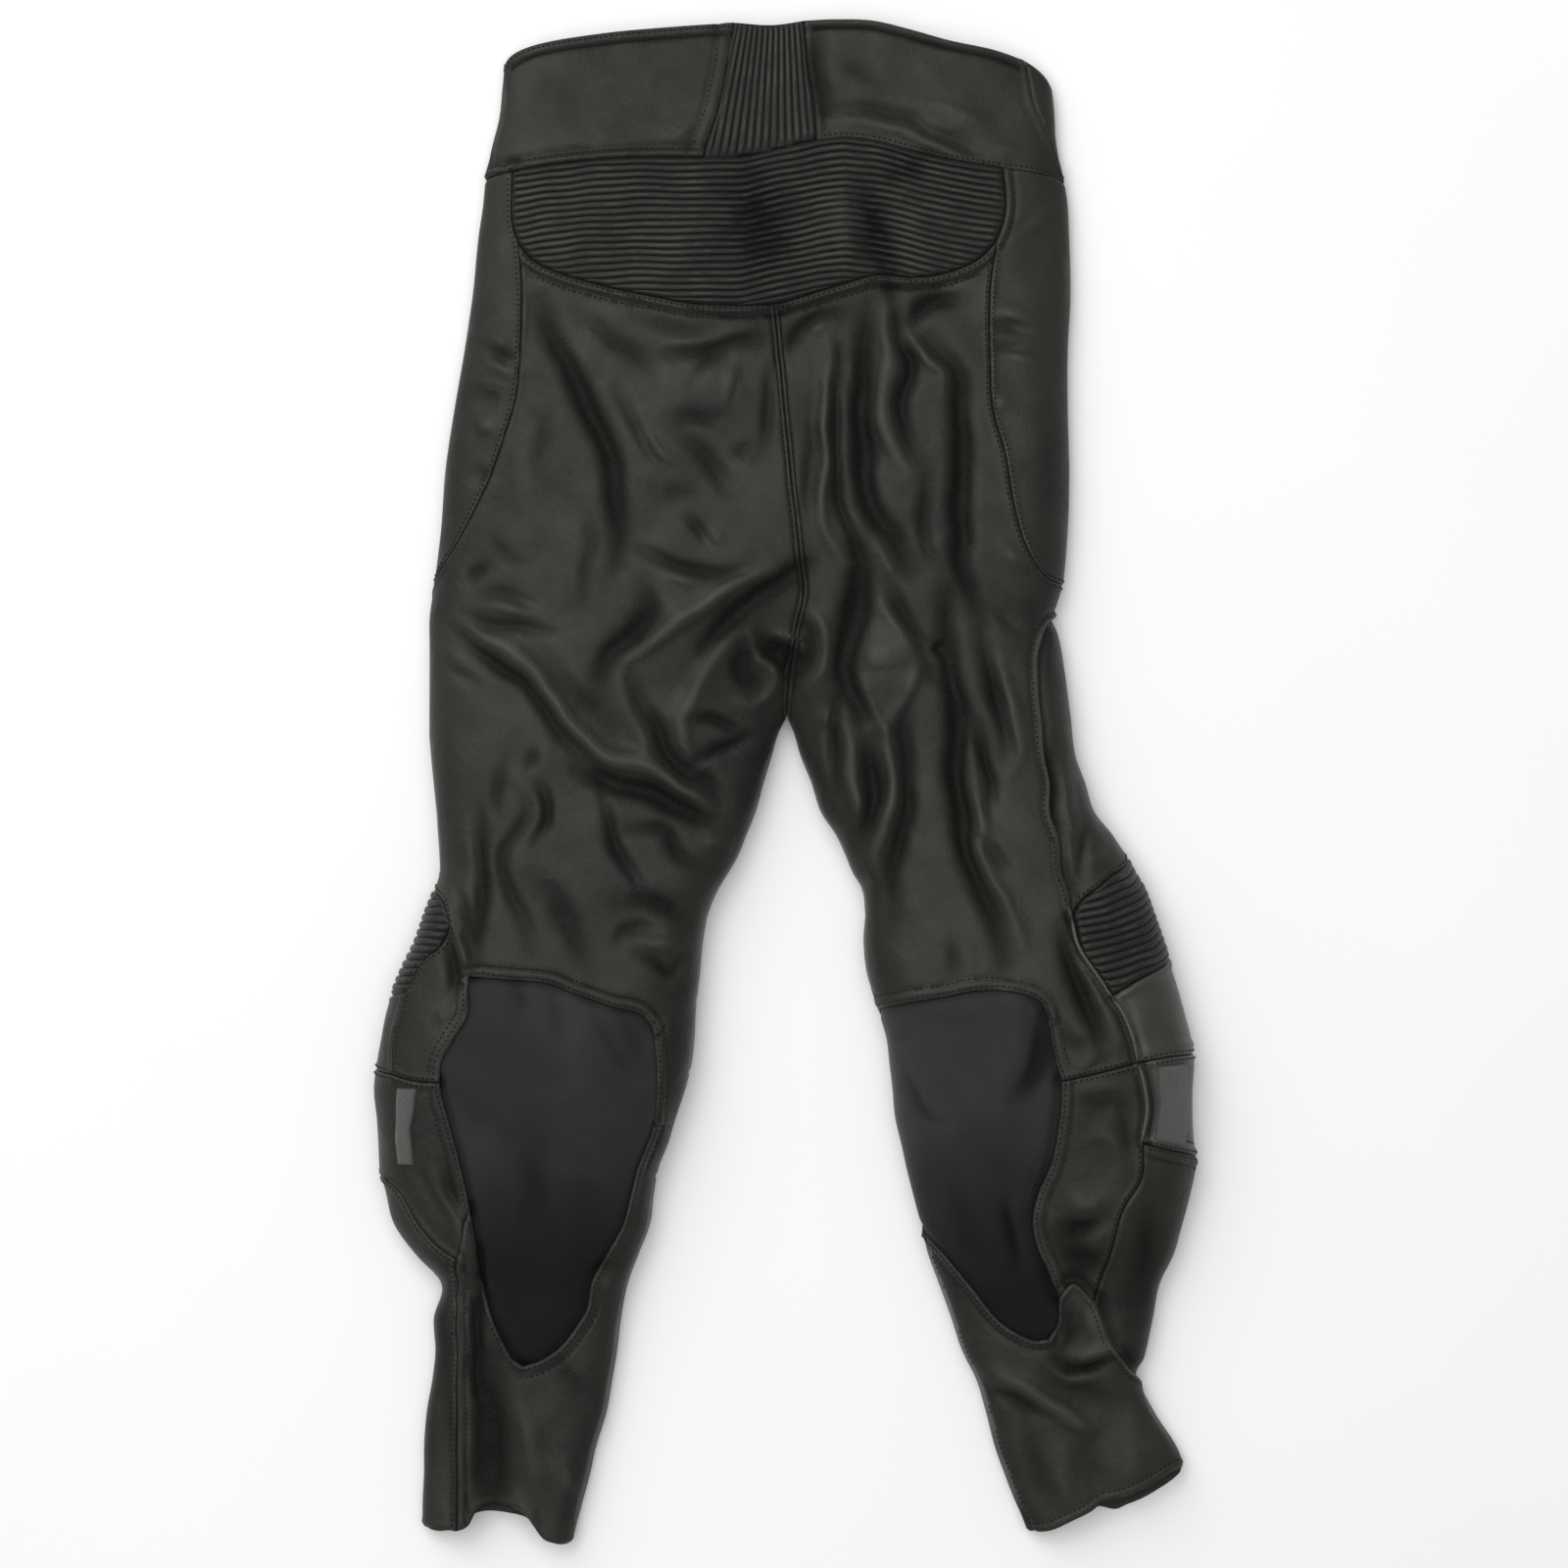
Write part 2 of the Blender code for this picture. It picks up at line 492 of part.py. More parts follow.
def distance_to_lines(flat, starts, ends):
    """Least distance from each point to a set of straight pieces."""
    along = ends - starts
    size = np.maximum((along ** 2).sum(axis=1), 1e-9)
    off = flat[:, None, :] - starts[None]
    t = np.clip((off * along[None]).sum(axis=2) / size[None], 0, 1)
    gap = np.linalg.norm(off - t[..., None] * along[None], axis=2)
    return gap.min(axis=1)


def grid_points(chart, polygon, step):
    """Even fill: staggered rows on the top, wider ones underneath."""
    scale = TRUNK_SCALE if chart[0] == "trunk" else LEG_SCALE
    found = []
    low, high = polygon.min(axis=0), polygon.max(axis=0)
    turns = np.arange(-9, 20) * step
    for i, y in enumerate(np.arange(math.floor(low[1] / step), high[1] / step + 1) * step):
        shift = 0.5 * step * (i % 2)
        row = turns + shift
        row = row[(row > low[0]) & (row < high[0]) & (np.sin(row / scale) > 0.1)]
        found += [(turn, y) for turn in row]
        found += [(k * math.pi * scale, y) for k in (0, 1)]
    under = np.array((0.17, 0.4, 0.9, 1.57, 2.24, 2.74, 2.97))
    rows = np.arange(math.floor(low[1] / UNDER_STEP), high[1] / UNDER_STEP + 1) * UNDER_STEP
    for y in rows:
        found += [(-turn * scale, y) for turn in under]
        found += [((2 * math.pi - turn) * scale, y) for turn in under]
    return np.array(found)


def fold_points(chart):
    """Extra fill along the folds: the line of each and one row on both sides."""
    found = []
    for height, width, line in FOLDS:
        line = np.array(line, dtype=float)
        for start, end in zip(line[:-1], line[1:]):
            along = end - start
            length = np.linalg.norm(along)
            side = np.array([-along[1], along[0]]) / length
            for t in (np.arange(max(1, round(length / 16))) + 0.5) / max(1, round(length / 16)):
                spot = start + t * along
                found += [spot, spot + 1.3 * width * side, spot - 1.3 * width * side]
    points = np.array([(x, y, 1) for x, y in found])
    left, left_in, right_in, right = outline(points[:, 1])
    low = {"left": left, "right": right_in, "trunk": left}[chart[0]]
    high = {"left": left_in, "right": right, "trunk": right}[chart[0]]
    return unroll(chart, points[(points[:, 0] > low + 3) & (points[:, 0] < high - 3)], 1)


def thin_out(points, taken, gap):
    """Keeps each point that is clear of those kept before it."""
    kept = list(taken)
    fresh = []
    for point in points:
        if all((point[0] - x) ** 2 + (point[1] - y) ** 2 > gap * gap for x, y in kept):
            kept.append(point)
            fresh.append(point)
    return np.array(fresh).reshape(-1, 2)


def triangulate(flat, edges):
    """Delaunay triangles inside the closed outline that the edges draw."""
    result = delaunay_2d_cdt([Vector(p) for p in flat], edges, [], 1, 1e-5)
    points, _, faces, origins, _, _ = result
    assert len(points) == len(flat), "a seam crosses itself"
    return [[origins[i][0] for i in face] for face in faces]


def inset(positions, normal):
    """Boundary drawn in by half the seam gap, square to the edge and along the surface."""
    after = np.roll(positions, -1, axis=0) - positions
    before = positions - np.roll(positions, 1, axis=0)
    turned = []
    for edge in (before, after):
        side = np.cross(normal, edge)
        turned.append(side / np.linalg.norm(side, axis=1)[:, None])
    both = turned[0] + turned[1]
    share = 1 + (turned[0] * turned[1]).sum(axis=1)
    mitre = both / np.maximum(share, 0.35)[:, None]
    return positions + 0.5 * SEAM_GAP * mitre


def ring(start, count):
    """Edges of a closed run of points."""
    return [(start + i, start + (i + 1) % count) for i in range(count)]


def plain_fill(chart, edge_flat, insert_flat, with_folds):
    """Points that fill a panel: those along the folds first, then the even grid."""
    starts = np.concatenate([edge_flat, insert_flat])
    ends = np.concatenate([np.roll(edge_flat, -1, axis=0), np.roll(insert_flat, -1, axis=0)])

    def clear(points):
        points = points[inside(points, edge_flat)]
        if len(insert_flat):
            points = points[~inside(points, insert_flat)]
        return points[distance_to_lines(points, starts, ends) > CLEARANCE]

    folds = thin_out(clear(fold_points(chart)), [], CLEARANCE) if with_folds else NO_POINTS
    grid = thin_out(clear(grid_points(chart, edge_flat, TOP_STEP)), folds, CLEARANCE)
    return np.concatenate([folds, grid])


def rib_fill(chart, ribs, edge_flat, plain):
    """Points along the ribs, and the plain ones where the panel lies on the ground."""
    scale = TRUNK_SCALE if chart[0] == "trunk" else LEG_SCALE
    points = ribs["points"](edge_flat)
    points = points[inside(points, edge_flat) & (np.sin(points[:, 0] / scale) > RIBS_END)]
    clear = distance_to_lines(points, edge_flat, np.roll(edge_flat, -1, axis=0))
    points = points[clear > RIB_CLEARANCE]
    plain = plain[np.sin(plain[:, 0] / scale) <= RIBS_END]
    return np.concatenate([points, thin_out(plain, points, CLEARANCE)])


def side_faces(loop, base):
    """Walls between the outer and inner boundary, cut along the same diagonal for both of
    the panels that share a seam."""
    faces = []
    for i in range(len(loop)):
        j = (i + 1) % len(loop)
        if tuple(loop[i, :2]) < tuple(loop[j, :2]):
            faces += [[i, base + i, base + j], [i, base + j, j]]
        else:
            faces += [[i, base + i, j], [j, base + i, base + j]]
    return faces


def panel(name, chart, loop, wall, lies=1, ribs=None, insert=None, lift=0.0):
    """One cut panel as a closed wall. It may carry ribs, leave the points of a patch that
    lies on it, or be that patch, lifted off the surface."""
    edge_flat = unroll(chart, loop, lies)
    after = np.roll(edge_flat, -1, axis=0)
    if np.sum(edge_flat[:, 0] * after[:, 1] - after[:, 0] * edge_flat[:, 1]) < 0:
        loop, edge_flat = loop[::-1], edge_flat[::-1]
    insert_flat = NO_POINTS if insert is None else unroll(chart, insert, 1)
    fill = NO_POINTS
    if lift == 0:
        fill = plain_fill(chart, edge_flat, insert_flat, ribs is None)
    fill = np.concatenate([insert_flat, fill])
    outer_fill = fill if ribs is None else rib_fill(chart, ribs, edge_flat, fill)
    edges = ring(0, len(loop)) + ring(len(loop), len(insert_flat))

    edge_normal = normals(loop)
    edge_outer = inset(surface(loop), edge_normal) + lift * edge_normal
    outer_points = roll_up(chart, outer_fill)
    outer = surface(outer_points)
    relief = np.full(len(outer), lift)
    if ribs is not None:
        clear = distance_to_lines(outer_fill, edge_flat, np.roll(edge_flat, -1, axis=0))
        relief = ribs["relief"](outer_fill) * np.clip(clear / RIB_FADE, 0, 1)
        relief *= np.clip(outer[:, 2] / RIBS_FULL, 0, 1)
    outer = np.concatenate([edge_outer, outer + relief[:, None] * normals(outer_points)])
    inner_points = roll_up(chart, fill)
    inner = surface(inner_points) + (lift - wall) * normals(inner_points)
    inner = np.concatenate([edge_outer - wall * edge_normal, inner])

    base = len(outer)
    faces = triangulate(np.concatenate([edge_flat, outer_fill]), edges)
    low_faces = triangulate(np.concatenate([edge_flat, fill]), edges)
    faces += [[base + i for i in reversed(face)] for face in low_faces]
    faces += side_faces(loop, base)
    mesh = bpy.data.meshes.new(name)
    mesh.from_pydata((np.concatenate([outer, inner]) * MM).tolist(), [], faces)
    mesh.validate()
    mesh.update()
    return mesh


def material(name, colour, roughness):
    """Plain Principled material."""
    made = bpy.data.materials.new(name)
    made.use_nodes = True
    shader = made.node_tree.nodes["Principled BSDF"]
    shader.inputs["Base Color"].default_value = (*colour, 1.0)
    shader.inputs["Roughness"].default_value = roughness
    shader.inputs["Metallic"].default_value = 0.0
    return made


def crossing_ribs(chart, centre_line, pitch, columns):
    """Ribs that run round a tube: each follows the centre line moved along y."""
    scale = TRUNK_SCALE if chart[0] == "trunk" else LEG_SCALE
    turns, heights_of = np.array(centre_line, dtype=float).T

    def line(flat_x):
        return np.interp(flat_x / scale, turns, heights_of)

    def points(polygon):
        low, high = polygon.min(axis=0), polygon.max(axis=0)
        across = np.arange(math.ceil(low[0] / columns), high[0] / columns) * columns
        across = np.union1d(across, [k * math.pi * scale for k in (0, 1)])
        across = across[(across > low[0]) & (across < high[0])]
        rows = np.arange(-60, 60) * pitch / 2
        grid_x, grid_row = np.meshgrid(across, rows)
        return np.stack([grid_x.ravel(), (line(grid_x) + grid_row).ravel()], axis=1)

    def relief(flat):
        phase = 2 * math.pi * (flat[:, 1] - line(flat[:, 0])) / pitch
        return RIB_HEIGHT * (0.5 + 0.5 * np.cos(phase))

    return {"points": points, "relief": relief}


def upright_ribs(left, right, count):
    """Ribs that run from the waist edge to the waist seam, spread between two side lines."""
    left, right = np.array(left, dtype=float), np.array(right, dtype=float)

    def sides(y):
        return np.interp(y, left[:, 1], left[:, 0]), np.interp(y, right[:, 1], right[:, 0])

    def points(polygon):
        rows = np.arange(math.ceil(polygon[:, 1].min() / 12), polygon[:, 1].max() / 12) * 12
        part, y = np.meshgrid((np.arange(2 * count - 1) + 1) / (2 * count), rows)
        low, high = sides(y)
        spots = np.stack([(low + part * (high - low)).ravel(), y.ravel(), np.ones(y.size)], axis=1)
        return unroll(TRUNK, spots, 1)

    def relief(flat):
        spots = roll_up(TRUNK, flat)
        low, high = sides(spots[:, 1])
        part = (spots[:, 0] - low) / (high - low)
        return RIB_HEIGHT * (0.5 - 0.5 * np.cos(2 * math.pi * count * part))

    return {"points": points, "relief": relief}


LEATHER_LOOK = ("leather", (0.032, 0.032, 0.030), 0.48)
RIB_LOOK = ("rib_leather", (0.026, 0.026, 0.024), 0.50)
STRETCH_LOOK = ("stretch", (0.022, 0.027, 0.026), 0.85)
LOOP_LOOK = ("loop_pile", (0.060, 0.058, 0.054), 0.95)

YOKE_RIBS = crossing_ribs(TRUNK, [(float(a), y - YOKE_PITCH / 2) for a, y in zip(
    angle_of("trunk", np.array([(x, y, 1.0) for x, y in WAIST_SEAM])),
    [y for _, y in WAIST_SEAM])], YOKE_PITCH, 27.0)
WAIST_RIB_LINES = upright_ribs([(-57, 432), (-36, 525.5)], [(22, 444), (17, 491), (13, 527)],
                               WAIST_RIBS)
KNEE_RIBS_LEFT = crossing_ribs(LEFT, [(-math.pi, -121), (0, -109), (0.8, -109)], KNEE_PITCH, 22.0)
KNEE_RIBS_RIGHT = crossing_ribs(RIGHT_FAR, [(1.8, -112), (math.pi, -86), (2 * math.pi, -115)],
                                KNEE_PITCH, 22.0)

SLIDER_LEFT = np.array([(-266, -209, 1), (-252, -209, 1), (-254, -223, 1), (-257, -237, 1),
                        (-255, -262, 1), (-266, -262, 1), (-268, -245, 1), (-267, -227, 1)][::-1],
                       dtype=float)
SLIDER_RIGHT = np.array([(254, -194, 1), (276, -193, 1), (277, -215, 1), (277, -238, 1),
                         (274, -250, 1), (253, -245, 1), (256, -220, 1)][::-1], dtype=float)

# Panels: name, chart, seams round it, wall, look, side that its edge points count as, extras
PANELS = [
    ("waistband_back_left", TRUNK, "-waist_a waist_side_left seam_a seam_b -waist_rib_left",
     WAISTBAND, LEATHER_LOOK, 1, {}),
    ("waist_ribs", TRUNK, "-waist_b waist_rib_left seam_c -waist_rib_right",
     RIB_WALL, RIB_LOOK, 1, {"ribs": WAIST_RIB_LINES}),
    ("waistband_back_right", TRUNK, "-waist_c waist_rib_right seam_d seam_e -waist_side_right",
     WAISTBAND, LEATHER_LOOK, 1, {}),
    ("waistband_front_right", TRUNK_FAR,
     "-waist_d waist_side_right seam_f seam_g -waist_front_split",
     WAISTBAND, LEATHER_LOOK, -1, {}),
    ("waistband_front_left", TRUNK,
     "-waist_e waist_front_split seam_h seam_i seam_j -waist_side_left",
     WAISTBAND, LEATHER_LOOK, -1, {}),
    ("yoke_ribs", TRUNK,
     "-seam_d -seam_c -seam_b yoke_side_left yoke_arc_left yoke_arc_right yoke_side_right",
     RIB_WALL, RIB_LOOK, 1, {"ribs": YOKE_RIBS}),
    ("hip_left", LEFT, "-seam_a -seam_j -hip_front_left -hip_left -yoke_side_left",
     LEATHER, LEATHER_LOOK, 1, {}),
    ("hip_right", RIGHT_FAR, "-seam_e -yoke_side_right hip_right -hip_front_right -seam_f",
     LEATHER, LEATHER_LOOK, 1, {}),
    ("seat_left", LEFT,
     "-yoke_arc_left hip_left out_left rib_seam_left cup_seam_left cross_b_left -shield_a_left"
     " shield_top_left shield_d_left strip_end_left -in_left_d -in_left_c -in_left_b -in_left_a"
     " -centre_back", LEATHER, LEATHER_LOOK, 1, {}),
    ("seat_right", RIGHT,
     "-yoke_arc_right centre_back in_right_a in_right_b in_right_c shield_top_right"
     " shield_a_right cross_b_right -cup_seam_right -rib_seam_right -overlap_right -out_right"
     " -hip_right", LEATHER, LEATHER_LOOK, 1, {}),
    ("fly", LEFT, "-seam_h fly_right -fly_left", LEATHER, LEATHER_LOOK, -1, {}),
    ("front_left", LEFT,
     "-seam_i fly_left centre_front in_left_a -thigh_front_left -out_left hip_front_left",
     LEATHER, LEATHER_LOOK, -1, {}),
    ("front_right", RIGHT_FAR,
     "-seam_g hip_front_right out_right overlap_right rib_top_right thigh_front_right"
     " -in_right_a -centre_front -fly_right", LEATHER, LEATHER_LOOK, -1, {}),
    ("knee_ribs_left", LEFT,
     "thigh_front_left in_left_b -rib_low_under_left -rib_low_left -rib_seam_left",
     RIB_WALL, RIB_LOOK, -1, {"ribs": KNEE_RIBS_LEFT}),
    ("knee_cup_left", LEFT,
     "rib_low_left rib_low_under_left in_left_c -cross_under_left -cross_a_left -cup_seam_left",
     LEATHER, LEATHER_LOOK, -1, {}),
    ("knee_cup_lower_left", LEFT,
     "-cross_b_left cross_a_left cross_under_left in_left_d in_left_e -shin_under_left"
     " shin_top_left -zip_a_left -shield_b_left", LEATHER, LEATHER_LOOK, -1,
     {"insert": SLIDER_LEFT}),
    ("slider_patch_left", LEFT, SLIDER_LEFT, PATCH, LOOP_LOOK, 1, {"lift": PATCH + PATCH_LIFT}),
    ("shield_left", LEFT,
     "shield_top_left shield_d_left shield_e_left -shield_c_left -shield_b_left -shield_a_left",
     STRETCH, STRETCH_LOOK, 1, {}),
    ("shin_left", LEFT,
     "-shin_top_left shin_under_left in_left_f -hem_under_left hem_shin_left -zip_b_left",
     LEATHER, LEATHER_LOOK, -1, {}),
    ("cuff_left", LEFT,
     "shield_c_left -shield_e_left strip_end_left in_left_e in_left_f -hem_cuff_left"
     " -zip_b_left -zip_a_left", LEATHER, LEATHER_LOOK, 1, {}),
    ("knee_ribs_right", RIGHT_FAR,
     "rib_top_right thigh_front_right in_right_b -rib_low_under_right -rib_low_right"
     " -rib_seam_right", RIB_WALL, RIB_LOOK, -1, {"ribs": KNEE_RIBS_RIGHT}),
    ("knee_cup_right", RIGHT_FAR,
     "rib_low_right rib_low_under_right in_right_c shield_under_a -cross_under_right"
     " -cross_a_right -cup_seam_right", LEATHER, LEATHER_LOOK, -1, {}),
    ("knee_cup_lower_right", RIGHT_FAR,
     "cross_a_right cross_under_right shield_under_b -band_under_right -band_right"
     " -slide_seam_right", LEATHER, LEATHER_LOOK, -1, {"insert": SLIDER_RIGHT}),
    ("slider_patch_right", RIGHT, SLIDER_RIGHT, PATCH, LOOP_LOOK, 1,
     {"lift": PATCH + PATCH_LIFT}),
    ("calf_side_right", RIGHT,
     "-cross_b_right shield_b_right cuff_a_right -shin_seam_right -slide_seam_right",
     LEATHER, LEATHER_LOOK, 1, {}),
    ("shield_right", RIGHT,
     "shield_top_right shield_a_right shield_b_right shield_c_right -shield_d_right"
     " -shield_under_c -shield_under_b -shield_under_a", STRETCH, STRETCH_LOOK, 1, {}),
    ("shin_right", RIGHT_FAR,
     "band_right band_under_right shield_under_c in_right_d -hem_under_right -out_cuff_right"
     " -cuff_b_right -shin_seam_right", LEATHER, LEATHER_LOOK, -1, {}),
    ("cuff_right", RIGHT,
     "shield_d_right -shield_c_right cuff_a_right cuff_b_right out_cuff_right -hem_top_right"
     " -in_right_d", LEATHER, LEATHER_LOOK, 1, {}),
]

for old in list(bpy.data.objects):
    bpy.data.objects.remove(old, do_unlink=True)

SEAMS = build_seams()
for name, chart, names, wall, look, lies, extras in PANELS:
    loop = loop_from(SEAMS, names.split()) if isinstance(names, str) else names
    mesh = panel(name, chart, loop, wall, lies=lies, **extras)
    mesh.materials.append(material(f"{name}_{look[0]}", look[1], look[2]))
    part = bpy.data.objects.new(name, mesh)
    part.location = CENTRING
    bpy.context.scene.collection.objects.link(part)
    print(name, len(mesh.polygons))
print("triangles", sum(len(o.data.polygons) for o in bpy.data.objects if o.type == "MESH"))
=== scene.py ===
# Leather motorcycle trousers laid flat on a pale table, back up, in full detail.
# Every cut panel of the pattern is one thin closed shell on the same outer surface as the CAD
# panels: two leg tubes that join in a trunk tube. x runs to the wearer's right, y to the waist,
# z up, all in millimetres until a mesh is made.
import math

import bpy
import numpy as np
from mathutils.geometry import delaunay_2d_cdt
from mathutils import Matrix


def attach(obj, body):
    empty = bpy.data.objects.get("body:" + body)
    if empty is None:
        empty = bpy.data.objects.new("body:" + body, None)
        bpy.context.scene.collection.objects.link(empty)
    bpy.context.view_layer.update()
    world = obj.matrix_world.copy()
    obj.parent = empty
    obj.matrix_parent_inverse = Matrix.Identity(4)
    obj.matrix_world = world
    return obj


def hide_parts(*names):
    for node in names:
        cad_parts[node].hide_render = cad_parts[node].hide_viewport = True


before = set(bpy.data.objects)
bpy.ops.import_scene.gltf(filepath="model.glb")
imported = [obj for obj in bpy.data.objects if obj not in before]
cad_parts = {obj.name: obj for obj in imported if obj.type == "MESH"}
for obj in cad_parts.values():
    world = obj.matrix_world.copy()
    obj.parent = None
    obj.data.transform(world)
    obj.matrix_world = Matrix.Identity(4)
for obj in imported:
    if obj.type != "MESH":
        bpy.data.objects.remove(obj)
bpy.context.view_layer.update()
print("frame loaded:", len(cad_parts), "nodes")

# How finely the cloth is drawn and how it lies
cloth = {
    "step": 2.4,               # spacing of the points on top
    "underStep": 7.0,          # and underneath
    "rows": (1.0, 2.1, 3.3, 4.7, 6.3, 8.1),   # rows of points beside every seam
    "rowSlack": 0.35,          # how much nearer than that to another seam such a point may be
    "rowsAbove": 3.0,          # only seams over this height have them
    "fillGap": 1.2,            # from the last row to the first other point
    "ribFillGap": 0.7,         # and from a seam to the first point of a rib
    "underFrom": -0.2,         # sine of the angle where the wide spacing begins
    "rollReach": 22.0,         # how far from its seam a roll or groove is looked for
    "patchSide": 14,           # points along each side of a patch
    "seamGap": 0.12,           # hairline between two panels
    "dip": 1.0,                # how far a seam is pulled down
    "dipWidth": 1.4,
    "foldRise": 0.82,          # folds are this times as high as the table says
    "foldSpread": 1.18,        # and this times as wide
    "crotchY": 46.0,
    "joinLength": 95.0,        # over this the two legs blend into the trunk
    "seamStep": 2.4,           # spacing of the points of a seam on top
    "underSeamStep": 5.0,      # and underneath
    "legSquareness": 4,        # power that rounds a leg's section
    "trunkSquareness": 6,
    "sideFade": 1.4,           # how soon the folds die away towards a side edge
    "underRoll": 3.5,          # how soon the side edge rolls down to the table
    "sharpAngle": 58.0,        # edges over this many degrees stay sharp
    "mm": 0.001,
    "centring": (0.0005, -0.001, 0.0),
}

# Outline of the trunk: y, left edge, right edge
trunkRows = np.array([
    (540, -193, 172), (500, -195, 181), (482, -197, 185), (462, -199, 187), (442, -204, 188),
    (421, -208, 193), (401, -210, 196), (380, -213, 197), (340, -217, 198), (299, -223, 196),
    (258, -230, 196), (217, -236, 197), (176, -239, 196), (136, -244, 192), (115, -247, 187),
    (95, -247, 191), (46, -247, 198)], dtype=float)[::-1]

# Centre seam: y, x
centreRows = np.array([
    (540, -8), (421, -7), (329, -8), (312, -6), (270, -2), (201, 5), (154, 10), (122, 11),
    (95, 6), (68, 2), (46, 1)], dtype=float)[::-1]

# Outline of the legs: y, left outer, left inner, right inner, right outer
legRows = np.array([
    (46, -247, 1, 1, 198), (34, -247, -5, 6, 199), (20, -246, -9, 10, 201),
    (0, -244, -15, 18, 208), (-21, -242, -21, 25, 215), (-36, -241, -27, 35, 227),
    (-51, -240, -33, 42, 236), (-63, -240, -40, 47, 242), (-71, -242, -45, 52, 247),
    (-89, -249, -53, 55, 254), (-109, -256, -57, 54, 261), (-130, -266, -59, 56, 268),
    (-157, -276, -62, 64, 276), (-177, -280, -63, 70, 281), (-194, -283, -65, 72, 283),
    (-211, -285, -69, 74, 282), (-232, -283, -76, 76, 282), (-249, -282, -81, 80, 283),
    (-267, -281, -88, 84, 284), (-283, -277, -91, 88, 281), (-306, -271, -94, 94, 275),
    (-327, -256, -102, 99, 269), (-346, -239, -109, 106, 260), (-371, -244, -114, 115, 255),
    (-395, -243, -117, 123, 250), (-413, -245, -120, 132, 246), (-436, -249, -124, 139, 256),
    (-463, -251, -132, 146, 273), (-477, -251, -135, 151, 278), (-500, -252, -141, 160, 285),
    (-519, -252, -146, 169, 290), (-544, -253, -151, 178, 297)], dtype=float)[::-1]

# Laid thickness: y, height of the side edge, rise of the top above it
heightRows = np.array([
    (540, 7, 17), (430, 8, 21), (330, 9, 28), (200, 10, 31), (46, 11, 33), (-60, 13, 35),
    (-150, 15, 39), (-205, 16, 39), (-280, 14, 33), (-350, 11, 25), (-430, 9, 19),
    (-544, 8, 15)], dtype=float)[::-1]

